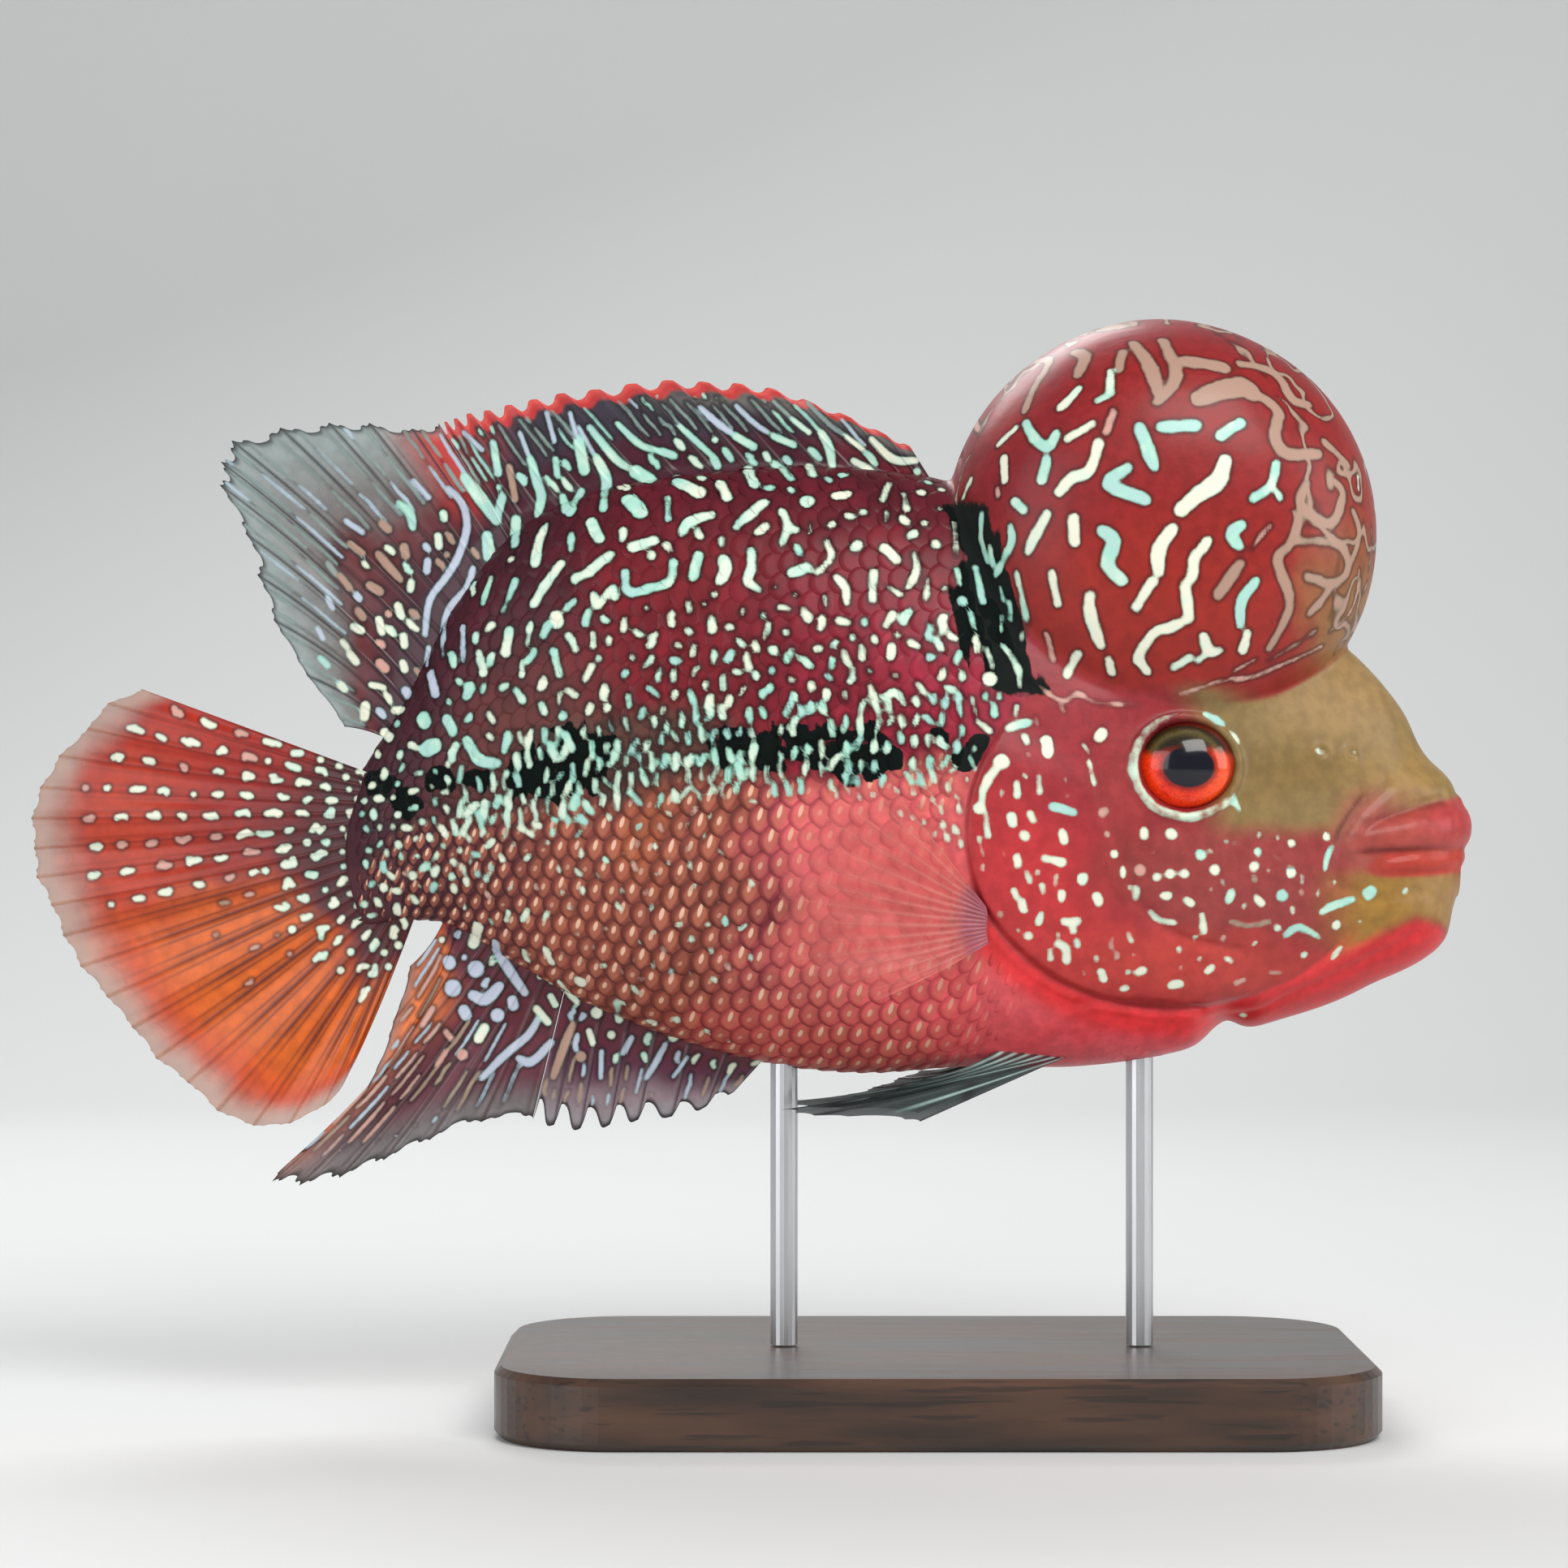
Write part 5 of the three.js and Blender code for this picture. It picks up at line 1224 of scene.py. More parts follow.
def c_anal_soft(f):
    v, u = f["v"], f["u"]
    n = noise(f["p"], 6.0, 2, 8.0) - 0.5
    rear = smooth(0.38, 0.72, u)
    col = layers((88, 24, 40), ((226, 120, 66), smooth(0.10, 0.28, v) * rear), ((98, 44, 58), smooth(0.2, 0.5, v) * (1 - rear)), ((126, 92, 82), smooth(0.72, 0.98, v + 0.25 * n) * 0.75), ((108, 100, 102), (1 - rear) * smooth(0.6, 0.9, v)), ((190, 70, 36), smooth(0.9, 1, u) * (1 - smooth(0.2, 0.5, v)) * 0.8))
    dark = np.maximum(np.exp(-((f["off"] / 0.36) ** 2)), 0.75 * fork(f, 0.26, 0.15))
    col = layers_on(col, (58, 22, 22), dark * (0.75 - 0.25 * rear))
    edge = smooth(0.955, 1.0, f["w"])
    col = layers_on(col, (26, 20, 22), edge * 0.85)
    out = smooth(0.7, 0.98, v)
    return col, 0.98 - 0.3 * out * (1 - np.clip(dark, 0, 1)) * (1 - 0.6 * edge), 0.85 * (1 - out)


def fork(f, wide=0.22, start=0.35):
    return smooth(start, start + 0.25, f["v"]) * np.exp(-((np.minimum(np.abs(f["frac"] - 0.24), np.abs(f["frac"] - 0.76)) * f["cell"] / wide) ** 2))


def c_tail(f):
    v, u, w = f["v"], f["u"], f["w"]
    n = noise(f["p"], 7.0, 3, 5.0) - 0.5
    low = smooth(0.38, 0.54, u + 0.1 * n)
    col = layers((70, 20, 28), ((140, 26, 16), smooth(0.14, 0.42, v + 0.2 * n)), ((176, 50, 18), (1 - low) * smooth(0.4, 0.75, v)), ((206, 92, 12), low * smooth(0.2, 0.42, v + 0.2 * n)), ((204, 72, 28), low * smooth(0.7, 0.9, v + 0.1 * n)), ((160, 28, 14), (1 - smooth(0.0, 0.3, u)) * smooth(0.1, 0.3, v) * 0.7))
    thin = np.exp(-((f["off"] / 0.26) ** 2))
    streak = low * smooth(0.2, 0.34, v) * (1 - smooth(0.6, 0.84, v + 0.3 * n))
    col = layers_on(col, (70, 24, 20), streak * 0.85 * np.maximum(np.exp(-((f["off"] / 0.5) ** 2)), 0.7 * fork(f, 0.3, 0.1)))
    col = layers_on(col, (98, 22, 18), np.maximum(thin, 0.6 * fork(f)) * 0.45)
    out = smooth(0.86, 1.0, w + 0.07 * n)
    col = layers_on(col, (168, 128, 98), out * 0.8)
    fade = smooth(0.80, 0.98, w + 0.08 * n)
    return col, 0.985 - 0.55 * fade * (1 - 0.45 * thin), 0.7 * (1 - out)


def c_pectoral(f):
    v, w = f["v"], f["w"]
    lit = np.exp(-((f["off"] / 0.3) ** 2)) + 0.6 * smooth(0.3, 0.6, v) * np.exp(-((np.minimum(np.abs(f["frac"] - 0.24), np.abs(f["frac"] - 0.76)) * f["cell"] / 0.2) ** 2))
    col = layers((206, 104, 98), ((218, 138, 126), np.clip(lit, 0, 1) * 0.7), ((130, 62, 92), (1 - smooth(0.02, 0.13, v)) * 0.8 * (0.4 + 0.6 * np.clip(lit, 0, 1))))
    return col, np.clip((0.24 + 0.16 * np.clip(lit, 0, 1)) * (1 - 0.72 * smooth(0.5, 1, w)) + 0.4 * (1 - smooth(0.0, 0.14, v)), 0, 1), 0 * v


def c_pelvic(f):
    v, u = f["v"], f["u"]
    n = noise(f["p"], 3.0, 2, 5.0) - 0.5
    lead = 1 - smooth(0.02, 0.16, u)
    col = layers((28, 30, 34), ((150, 66, 72), (1 - smooth(0.0, 0.16, v))), ((64, 76, 76), smooth(0.1, 0.5, 0.5 + 1.2 * n) * 0.5), ((176, 206, 198), np.exp(-(((f["frac"] - 0.5) * f["cell"] / 0.34) ** 2)) * (1 - smooth(0.6, 0.95, v)) * 0.8))
    dark = np.exp(-((f["off"] / 0.3) ** 2))
    col = layers_on(col, (18, 18, 22), dark * 0.7)
    return col, 0.96 - 0.3 * smooth(0.5, 1, v) * (1 - dark), 0 * v


pieces = {}
pieces["fin_dorsal_front"] = fin("fin_dorsal_front", DORSAL_SPINY, SP, c_dorsal, dorsal, spiny=True, notch=0.08, root=1.6, length=20, fine=12, wave=0.25, membrane=0.16, ridge=0.34, seed=2)
pieces["fin_dorsal_rear"] = fin("fin_dorsal_rear", DORSAL_SOFT, 12, c_soft, soft, notch=0.05, bow=-0.05, root=1.4, length=42, fine=14, wave=0.5, seed=3)
pieces["fin_anal_front"] = fin("fin_anal_front", ANAL_SPINY, 7, c_anal_spiny, anal, spiny=True, notch=0.17, root=1.4, length=22, fine=16, wave=0.25, membrane=0.16, ridge=0.34, seed=4)
pieces["fin_anal_rear"] = fin("fin_anal_rear", ANAL_SOFT, 10, c_anal_soft, anal, notch=0.05, bow=0.06, root=1.3, length=44, fine=14, wave=0.5, seed=5)
pieces["fin_tail"] = fin("fin_tail", CAUDAL, 20, c_tail, tail, notch=0.012, bow=0.01, root=1.4, length=56, fine=12, wave=0.55, seed=6, ridge=0.2)
for n_, s in (("right", -1), ("left", 1)):
    pieces["fin_breast_" + n_] = fin("fin_breast_" + n_, PECTORAL, 14, c_pectoral, None, notch=0.025, bow=0.02, root=0.8, dip=2.6, length=32, fine=10, wave=0.22, membrane=0.08, ridge=0.16, seed=7,
        lean=lambda u, v, s=s: s * (22.9 + 6.2 * v * (1 - 0.35 * v) + 0.5 * np.sin(3.1 * u) * np.clip(v, 0, 1)))
    pieces["fin_belly_" + n_] = fin("fin_belly_" + n_, PELVIC, 6, c_pelvic, None, notch=0.06, bow=0.05 if s < 0 else 0.09, root=1.0, length=46, fine=12, wave=0.2, membrane=0.12, ridge=0.24, seed=8,
        lean=lambda u, v, s=s: s * (6.5 + 3.2 * v + 1.6 * u))

# ------------------------------------------------------------------ eyes
def eyeball(name, s):
    R, N = 72, 120
    th = np.linspace(0, np.pi * 0.62, R + 1)[1:]
    a = np.linspace(0, 2 * np.pi, N, endpoint=False)
    T, A = np.meshgrid(th, a, indexing="ij")
    dx, dz, dy = np.sin(T) * np.cos(A), np.sin(T) * np.sin(A), np.cos(T)
    X, Z = EYE["x"] + (EYE["rx"] - 0.25) * dx, EYE["z"] + (EYE["rz"] - 0.25) * dz
    Y = s * (EYE["y"] + (EYE["ry"] + 0.1) * dy)
    pole = np.array([[EYE["x"], s * (EYE["y"] + EYE["ry"] + 0.1), EYE["z"]]])
    v = np.concatenate([pole, np.stack([X, Y, Z], -1).reshape(-1, 3)])
    q = []
    for r in range(R - 1):
        i = 1 + r * N + np.arange(N)
        j = 1 + r * N + (np.arange(N) + 1) % N
        q.append(np.stack([i, j, j + N, i + N], -1))
    quads = np.concatenate(q)
    ring = 1 + np.arange(N)
    tri = np.stack([np.zeros(N, int), (np.roll(ring, -1)), ring], -1)
    tri4 = np.concatenate([tri, tri[:, 2:]], 1)
    back = len(v)
    v = np.concatenate([v, [[EYE["x"], s * (EYE["y"] - 3.4), EYE["z"]]]])
    last = 1 + (R - 1) * N + np.arange(N)
    # colours
    ex, ez = (v[:, 0] - EYE["x"] + 0.35), (v[:, 2] - EYE["z"] + 0.0)
    pr = np.sqrt(((ex - 0.55) / 4.35) ** 2 + ((ez + 0.1) / 3.45) ** 2)
    er = np.sqrt((ex / 7.9) ** 2 + (ez / 7.2) ** 2)
    ang = np.degrees(np.arctan2(ez, ex)) % 360
    n = noise(v * [1, 1, 1], 1.4, 3, 3.0) - 0.5
    col = layers((214, 24, 10), ((240, 62, 16), smooth(0.35, 0.8, er + 0.8 * n) * 0.8), ((250, 96, 30), np.exp(-(((ang - 340) / 40) ** 2)) * 0.5 + np.exp(-(((ang - 20) / 30) ** 2)) * 0.4), ((120, 10, 8), (1 - smooth(1.05, 1.35, pr)) * 0.8))
    # painted shadow of the lid over the top of the iris: dark brown, with an olive ring inside it
    lid_shadow = smooth(0.16, 0.48, ez / 7.2 + 0.05 * np.sin(ex) + 0.1 * n)
    col = layers_on(col, (34, 26, 14), lid_shadow)
    col = layers_on(col, (96, 88, 44), lid_shadow * np.exp(-(((er - 0.8) / 0.08) ** 2)) * 0.6)
    col = layers_on(col, (90, 12, 8), smooth(0.93, 1.0, er) * 0.7)
    col = layers_on(col, (6, 6, 22), 1 - smooth(0.97, 1.04, pr))
    faces = np.concatenate([quads, np.stack([last, np.roll(last, -1), np.full(N, back), np.full(N, back)], -1)])
    me_faces = [list(map(int, f)) for f in quads] + [list(map(int, f)) for f in tri] + [[int(last[k]), int(last[(k + 1) % N]), back][::-1] for k in range(N)]
    me = bpy.data.meshes.new(name)
    me.from_pydata([tuple(c * 0.001) for c in warp(v)], [], me_faces)
    at = me.attributes.new("Col", "FLOAT_COLOR", "POINT")
    at.data.foreach_set("color", np.concatenate([np.clip(col, 0, 1), np.ones((len(v), 1))], 1).astype(F32).ravel())
    me.update()
    import bmesh

    bm = bmesh.new()
    bm.from_mesh(me)
    bmesh.ops.recalc_face_normals(bm, faces=bm.faces)
    bm.to_mesh(me)
    bm.free()
    me.shade_smooth()
    ob = bpy.data.objects.new(name, me)
    bpy.context.collection.objects.link(ob)
    return ob


eyes = {"right": eyeball("eyeball_right", -1), "left": eyeball("eyeball_left", 1)}

# ------------------------------------------------------------------ materials
def nodes_of(name):
    m = bpy.data.materials.new(name)
    m.use_nodes = True
    nt = m.node_tree
    return m, nt, nt.nodes["Principled BSDF"]


def attr(nt, name):
    n = nt.nodes.new("ShaderNodeAttribute")
    n.attribute_name = name
    return n


def ramp_range(nt, src, a, b, lo=0.0, hi=1.0):
    n = nt.nodes.new("ShaderNodeMapRange")
    n.interpolation_type = "SMOOTHSTEP"
    nt.links.new(src, n.inputs["Value"])
    n.inputs["From Min"].default_value, n.inputs["From Max"].default_value = a, b
    n.inputs["To Min"].default_value, n.inputs["To Max"].default_value = lo, hi
    return n.outputs["Result"]


def calc(nt, op, a, b=None, c=None, clamp=False):
    n = nt.nodes.new("ShaderNodeMath")
    n.operation = op
    n.use_clamp = clamp
    for k, v in enumerate((a, b, c)):
        if v is None:
            continue
        if isinstance(v, (int, float)):
            n.inputs[k].default_value = v
        else:
            nt.links.new(v, n.inputs[k])
    return n.outputs[0]


def mix(nt, fac, a, b, mode="MIX"):
    n = nt.nodes.new("ShaderNodeMix")
    n.data_type = "RGBA"
    n.blend_type = mode
    n.clamp_factor = True
    for sock, v in ((n.inputs[0], fac), (n.inputs[6], a), (n.inputs[7], b)):
        if isinstance(v, (int, float)):
            sock.default_value = v
        elif isinstance(v, (tuple, list, np.ndarray)):
            sock.default_value = (*[float(x) for x in v[:3]], 1)
        else:
            nt.links.new(v, sock)
    return n.outputs[2]


def noise_tex(nt, scale, detail=3.0, rough=0.55, stretch=None):
    tc = nt.nodes.new("ShaderNodeTexCoord")
    n = nt.nodes.new("ShaderNodeTexNoise")
    n.inputs["Scale"].default_value = scale
    n.inputs["Detail"].default_value = detail
    n.inputs["Roughness"].default_value = rough
    if stretch:
        mp = nt.nodes.new("ShaderNodeMapping")
        mp.inputs["Scale"].default_value = stretch
        nt.links.new(tc.outputs["Object"], mp.inputs["Vector"])
        nt.links.new(mp.outputs["Vector"], n.inputs["Vector"])
    else:
        nt.links.new(tc.outputs["Object"], n.inputs["Vector"])
    return n.outputs["Fac"]


TINTS = [(0.0, (226, 225, 206)), (0.17, (206, 224, 208)), (0.34, (162, 212, 196)), (0.42, (184, 190, 208)), (0.5, (140, 150, 148)), (0.67, (168, 134, 118)), (1.0, (206, 152, 142))]


def tint_ramp(nt, src):
    n = nt.nodes.new("ShaderNodeValToRGB")
    r = n.color_ramp
    while len(r.elements) < len(TINTS):
        r.elements.new(0.5)
    for e, (p, c) in zip(r.elements, TINTS):
        e.position = p
    for e, (p, c) in zip(r.elements, TINTS):
        e.color = (*rgb(*c), 1)
    nt.links.new(src, n.inputs["Fac"])
    return n.outputs["Color"]


def bump(nt, height, strength, distance, prev=None):
    n = nt.nodes.new("ShaderNodeBump")
    n.inputs["Strength"].default_value = strength
    n.inputs["Distance"].default_value = distance
    nt.links.new(height, n.inputs["Height"])
    if prev is not None:
        nt.links.new(prev, n.inputs["Normal"])
    return n.outputs["Normal"]


def fish_material(name, kind):
    m, nt, b = nodes_of(name)
    L = nt.links.new
    col = attr(nt, "Col").outputs["Color"]
    mark = attr(nt, "mark").outputs["Fac"]
    tint = attr(nt, "tint").outputs["Fac"]
    halo = attr(nt, "halo").outputs["Fac"]
    # pale marks pass from cream to mint along their length
    drift = calc(nt, "MULTIPLY", calc(nt, "SUBTRACT", noise_tex(nt, 190, 2), 0.5), 0.75)
    varied = calc(nt, "MINIMUM", calc(nt, "MAXIMUM", calc(nt, "ADD", tint, drift), 0.0), 0.36)
    is_pale = calc(nt, "LESS_THAN", tint, 0.40)
    tint = calc(nt, "ADD", calc(nt, "MULTIPLY", varied, is_pale), calc(nt, "MULTIPLY", tint, calc(nt, "SUBTRACT", 1.0, is_pale)))
    grain = noise_tex(nt, 420, 4)
    col = mix(nt, 1.0, col, mix(nt, ramp_range(nt, grain, 0.3, 0.7), (0.88, 0.87, 0.87), (1.12, 1.12, 1.12)), "MULTIPLY")
    normal = None
    if kind == "scale":
        sc = nt.nodes.new("ShaderNodeSeparateXYZ")
        L(attr(nt, "sc").outputs["Vector"], sc.inputs[0])
        p, q, rnd = sc.outputs[0], sc.outputs[1], sc.outputs[2]
        pale = attr(nt, "pale").outputs["Fac"]
        r = calc(nt, "SQRT", calc(nt, "ADD", calc(nt, "MULTIPLY", p, p), calc(nt, "MULTIPLY", q, q)))
        # dark hind edge of every scale
        rim = ramp_range(nt, r, 0.66, 0.97)
        col = mix(nt, calc(nt, "MULTIPLY", rim, calc(nt, "ADD", 0.20, calc(nt, "MULTIPLY", pale, 0.52))), col, mix(nt, 1.0, col, (0.30, 0.22, 0.24), "MULTIPLY"))
        # pale middle on the lower flank, with a small bright bead
        dp = calc(nt, "ABSOLUTE", calc(nt, "DIVIDE", calc(nt, "SUBTRACT", calc(nt, "ADD", p, calc(nt, "MULTIPLY", q, 0.2)), 0.36), 0.40))
        dq = calc(nt, "ABSOLUTE", calc(nt, "DIVIDE", q, 0.74))
        body = calc(nt, "ADD", calc(nt, "POWER", dp, 1.4), calc(nt, "POWER", dq, 1.4))
        w = calc(nt, "MULTIPLY", ramp_range(nt, body, 1.1, 0.55), calc(nt, "MULTIPLY", pale, calc(nt, "ADD", 0.26, calc(nt, "MULTIPLY", rnd, 0.4))))
        col = mix(nt, w, col, rgb(184, 112, 86))
        jig = calc(nt, "MULTIPLY", calc(nt, "SUBTRACT", rnd, 0.5), 0.4)
        bp = calc(nt, "DIVIDE", calc(nt, "SUBTRACT", calc(nt, "ADD", p, calc(nt, "MULTIPLY", q, 0.22)), 0.42), 0.13)
        bq = calc(nt, "DIVIDE", calc(nt, "SUBTRACT", q, calc(nt, "ADD", 0.12, jig)), calc(nt, "ADD", 0.14, calc(nt, "MULTIPLY", rnd, 0.26)))
        bead = calc(nt, "SQRT", calc(nt, "ADD", calc(nt, "MULTIPLY", bp, bp), calc(nt, "MULTIPLY", bq, bq)))
        w = calc(nt, "MULTIPLY", ramp_range(nt, bead, 1.15, 0.7), calc(nt, "MULTIPLY", pale, ramp_range(nt, rnd, 0.1, 0.6, 0.35, 0.95)))
        col = mix(nt, w, col, rgb(226, 184, 158))
        rings = nt.nodes.new("ShaderNodeMath")
        rings.operation = "SINE"
        L(calc(nt, "MULTIPLY", r, 46), rings.inputs[0])
        normal = bump(nt, rings.outputs[0], 0.10, 0.00006)
    if kind in ("skin", "scale"):
        # black of the flowers, and along the nape folds black pigment with painted shade in the folds
        black = attr(nt, "black").outputs["Fac"]
        bw = ramp_range(nt, calc(nt, "ADD", black, calc(nt, "MULTIPLY", calc(nt, "SUBTRACT", noise_tex(nt, 900, 3), 0.5), 0.5)), 0.35, 0.62)
        col = mix(nt, bw, col, rgb(5, 14, 12))
    # dark edge round each mark, then the mark
    ink = calc(nt, "MULTIPLY", ramp_range(nt, mark, 0.85, 0.10), calc(nt, "MULTIPLY", halo, 0.92))
    col = mix(nt, ink, col, mix(nt, 1.0, col, (0.16, 0.12, 0.15), "MULTIPLY"))
    ragged = calc(nt, "ADD", mark, calc(nt, "MULTIPLY", calc(nt, "SUBTRACT", noise_tex(nt, 900, 3), 0.5), 0.30))
    edge_in = ramp_range(nt, mark, -0.42, -0.05)
    inner = tint_ramp(nt, tint)
    inner = mix(nt, calc(nt, "MULTIPLY", edge_in, 0.7), inner, mix(nt, 1.0, inner, (0.60, 0.84, 0.76), "MULTIPLY"))
    w = ramp_range(nt, ragged, 0.18, -0.22)
    col = mix(nt, w, col, inner)
    if kind == "fin":
        a = attr(nt, "alpha").outputs["Fac"]
        L(calc(nt, "MAXIMUM", a, calc(nt, "MULTIPLY", w, 0.9)), b.inputs["Alpha"])
        ridge = attr(nt, "ray").outputs["Fac"]
        col = mix(nt, 1.0, col, mix(nt, noise_tex(nt, 160, 3, 0.6, (1, 1, 1)), (0.86, 0.86, 0.86), (1.14, 1.14, 1.14)), "MULTIPLY")
        normal = bump(nt, ridge, 0.25, 0.0003)
        b.inputs["Roughness"].default_value = 0.36
        b.inputs["Coat Weight"].default_value = 0.25
        b.inputs["Coat Roughness"].default_value = 0.2
        b.inputs["Subsurface Weight"].default_value = 0.0
    else:
        rough = calc(nt, "ADD", 0.40 if kind == "scale" else 0.36, calc(nt, "MULTIPLY", grain, 0.16))
        L(calc(nt, "ADD", rough, calc(nt, "MULTIPLY", bw, 0.42), clamp=True), b.inputs["Roughness"])
        L(calc(nt, "MULTIPLY", calc(nt, "SUBTRACT", 1.0, bw), 0.12), b.inputs["Coat Weight"])
        b.inputs["Coat Roughness"].default_value = 0.2
    b.inputs["Specular IOR Level"].default_value = 0.14 if kind == "scale" else 0.26
    if kind == "skin":
        fine = noise_tex(nt, 1500, 3, 0.6)
        wrink = noise_tex(nt, 260, 4, 0.6)
        normal = bump(nt, fine, 0.16, 0.00012)
        normal = bump(nt, wrink, 0.22, 0.0005, normal)
        normal = bump(nt, w, 0.35, 0.00012, normal)
        lips = attr(nt, "lips").outputs["Fac"]
        lines = noise_tex(nt, 700, 3, 0.6, (0.25, 1, 1))
        col = mix(nt, calc(nt, "MULTIPLY", lips, calc(nt, "MULTIPLY", ramp_range(nt, lines, 0.4, 0.75), 0.35)), col, rgb(150, 54, 44))
        b.inputs["Subsurface Weight"].default_value = 0.12
        b.inputs["Subsurface Radius"].default_value = (0.004, 0.0014, 0.001)
        b.inputs["Subsurface Scale"].default_value = 0.5
    if kind == "scale":
        normal = bump(nt, w, 0.25, 0.0001, normal)
    L(col, b.inputs["Base Color"])
    if normal is not None:
        L(normal, b.inputs["Normal"])
    return m


skin.data.materials.append(fish_material("fish_skin", "skin"))
scale_mat = fish_material("fish_scales", "scale")
for o in coat:
    o.data.materials.append(scale_mat)
fin_mat = fish_material("fish_fins", "fin")
for o in pieces.values():
    o.data.materials.append(fin_mat)

m, nt, b = nodes_of("fish_eye")
grain = noise_tex(nt, 2400, 4)
col = mix(nt, 1.0, attr(nt, "Col").outputs["Color"], mix(nt, ramp_range(nt, grain, 0.3, 0.7), (0.8, 0.75, 0.75), (1.25, 1.2, 1.2)), "MULTIPLY")
nt.links.new(col, b.inputs["Base Color"])
nt.links.new(calc(nt, "ADD", 0.12, calc(nt, "MULTIPLY", grain, 0.08)), b.inputs["Roughness"])
b.inputs["Coat Weight"].default_value = 0.45
b.inputs["Coat Roughness"].default_value = 0.03
b.inputs["Specular IOR Level"].default_value = 0.25
for o in eyes.values():
    o.data.materials.append(m)


def wood():
    m, nt, b = nodes_of("stand_wood_dark")
    tc = nt.nodes.new("ShaderNodeTexCoord")
    mp = nt.nodes.new("ShaderNodeMapping")
    mp.inputs["Scale"].default_value = (6, 42, 42)
    nt.links.new(tc.outputs["Object"], mp.inputs["Vector"])
    n1 = nt.nodes.new("ShaderNodeTexNoise")
    n1.inputs["Scale"].default_value, n1.inputs["Detail"].default_value = 3.2, 6
    nt.links.new(mp.outputs["Vector"], n1.inputs["Vector"])
    pores = noise_tex(nt, 900, 2, 0.5, (0.06, 1, 1))
    g = ramp_range(nt, n1.outputs["Fac"], 0.32, 0.70)
    col = mix(nt, g, rgb(38, 24, 16), rgb(78, 50, 32))
    col = mix(nt, calc(nt, "MULTIPLY", ramp_range(nt, pores, 0.56, 0.66), 0.6), col, rgb(18, 11, 8))
    nt.links.new(col, b.inputs["Base Color"])
    nt.links.new(calc(nt, "ADD", 0.34, calc(nt, "MULTIPLY", g, 0.12)), b.inputs["Roughness"])
    b.inputs["Coat Weight"].default_value = 0.2
    b.inputs["Coat Roughness"].default_value = 0.25
    nt.links.new(bump(nt, pores, 0.2, 0.0002), b.inputs["Normal"])
    return m


def steel():
    m, nt, b = nodes_of("stand_steel")
    br = noise_tex(nt, 1600, 3, 0.6, (1, 1, 0.02))
    br2 = noise_tex(nt, 120, 3, 0.6)
    nt.links.new(mix(nt, br, (0.50, 0.51, 0.53), (0.66, 0.67, 0.69)), b.inputs["Base Color"])
    b.inputs["Metallic"].default_value = 1.0
    nt.links.new(calc(nt, "ADD", 0.2, calc(nt, "MULTIPLY", calc(nt, "ADD", br, br2), 0.14)), b.inputs["Roughness"])
    nt.links.new(bump(nt, br, 0.12, 0.0001), b.inputs["Normal"])
    return m


N = frame["nodes"]
wood_m, steel_m = wood(), steel()
for n_, mat in (("stand_base", wood_m), ("stand_rod_front", steel_m), ("stand_rod_rear", steel_m)):
    N[n_].data.materials.clear()
    N[n_].data.materials.append(mat)
bv = N["stand_base"].modifiers.new("edge", "BEVEL")
bv.width, bv.segments, bv.limit_method, bv.angle_limit = 0.0006, 3, "ANGLE", math.radians(30)

# ------------------------------------------------------------------ what each piece stands for
flesh_nodes = ["head", "lower_jaw", "upper_lip", "lower_lip", "nuchal_hump", "trunk", "tail_stalk", "gill_cover_right", "gill_cover_left"]
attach(skin, "root")
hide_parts(*flesh_nodes)
for o in coat:
    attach(o, "root")
    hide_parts("trunk", "tail_stalk")
stand_for = {"fin_dorsal_front": "dorsal_fin_spiny", "fin_dorsal_rear": "dorsal_fin_soft", "fin_anal_front": "anal_fin_spiny", "fin_anal_rear": "anal_fin_soft", "fin_tail": "caudal_fin"}
for n_ in ("right", "left"):
    stand_for["fin_breast_" + n_] = "pectoral_fin_" + n_
    stand_for["fin_belly_" + n_] = "pelvic_fin_" + n_
for n_, o in pieces.items():
    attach(o, "root")
    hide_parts(stand_for[n_])
for n_, o in eyes.items():
    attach(o, "root")
    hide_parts("eye_" + n_)

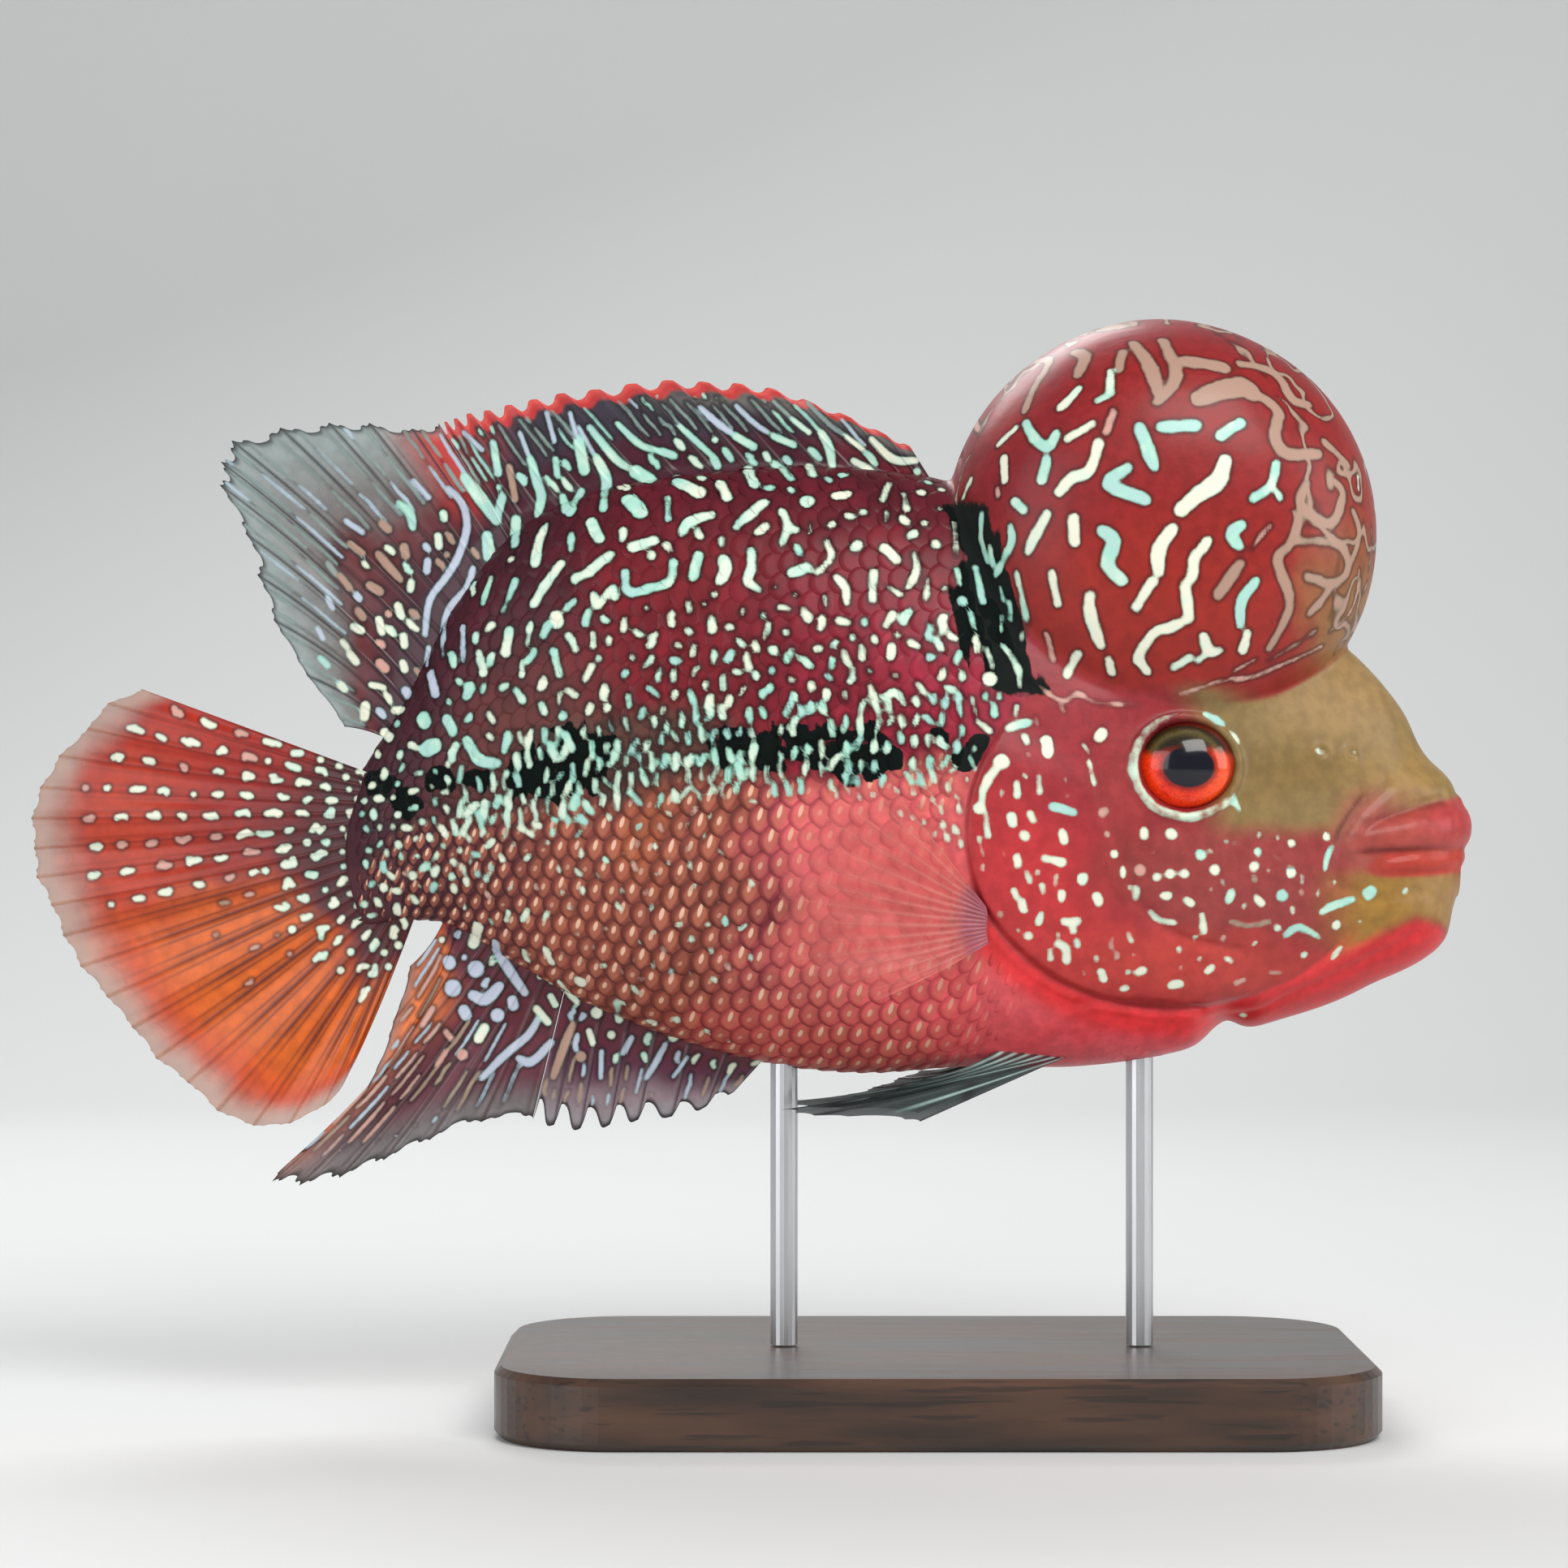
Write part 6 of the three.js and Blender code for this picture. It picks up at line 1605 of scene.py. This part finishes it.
# ------------------------------------------------------------------ floor, light, camera
me = bpy.data.meshes.new("floor")
prof = [(-1.6, 0.0)] + [(0.75 + 0.45 * math.sin(a), 0.45 - 0.45 * math.cos(a)) for a in np.linspace(0, math.pi / 2, 24)] + [(1.2, 2.6)]
vs = [(x, y, z - 0.0001) for x in (-3.0, 3.0) for y, z in prof]
k = len(prof)
me.from_pydata(vs, [], [(i, i + 1, k + i + 1, k + i) for i in range(k - 1)])
me.shade_smooth()
floor = bpy.data.objects.new("floor", me)
bpy.context.collection.objects.link(floor)
m, nt, b = nodes_of("floor_pale")
nt.links.new(mix(nt, noise_tex(nt, 3, 3), (0.66, 0.67, 0.67), (0.70, 0.71, 0.71)), b.inputs["Base Color"])
b.inputs["Roughness"].default_value = 0.75
floor.data.materials.append(m)

world = bpy.data.worlds.new("studio")
bpy.context.scene.world = world
world.use_nodes = True
world.node_tree.nodes["Background"].inputs[0].default_value = (0.98, 0.99, 1.0, 1)
world.node_tree.nodes["Background"].inputs[1].default_value = 0.38


def area(name, at, look, size, power, color=(1, 1, 1)):
    from mathutils import Vector

    d = bpy.data.lights.new(name, "AREA")
    d.energy, d.shape, d.size, d.size_y, d.color = power, "RECTANGLE", size[0], size[1], color
    o = bpy.data.objects.new(name, d)
    o.location = at
    o.rotation_euler = (Vector(look) - Vector(at)).to_track_quat("-Z", "Y").to_euler()
    bpy.context.collection.objects.link(o)
    return o


area("key", (0.35, -0.75, 0.85), (0, 0, 0.11), (0.7, 0.5), 8.6, (1.0, 0.985, 0.96))
area("fill", (-0.8, -0.8, 0.35), (0, 0, 0.1), (0.8, 0.8), 5.0, (0.98, 0.99, 1.0))
area("back", (-0.3, 0.7, 0.8), (0, 0, 0.12), (0.7, 0.4), 6, (1, 1, 1))
area("head", (0.75, -0.2, 0.3), (0.05, 0, 0.11), (0.4, 0.5), 2.0, (1, 1, 1))

cam = bpy.data.cameras.new("camera")
cam.sensor_width, cam.lens = 36, 36 * 800 / 273.57
co = bpy.data.objects.new("camera", cam)
co.location = (-0.026, -0.8, 0.110)
co.rotation_euler = (math.pi / 2, 0, 0)
bpy.context.collection.objects.link(co)
scene = bpy.context.scene
scene.camera = co
scene.view_settings.view_transform = "Standard"
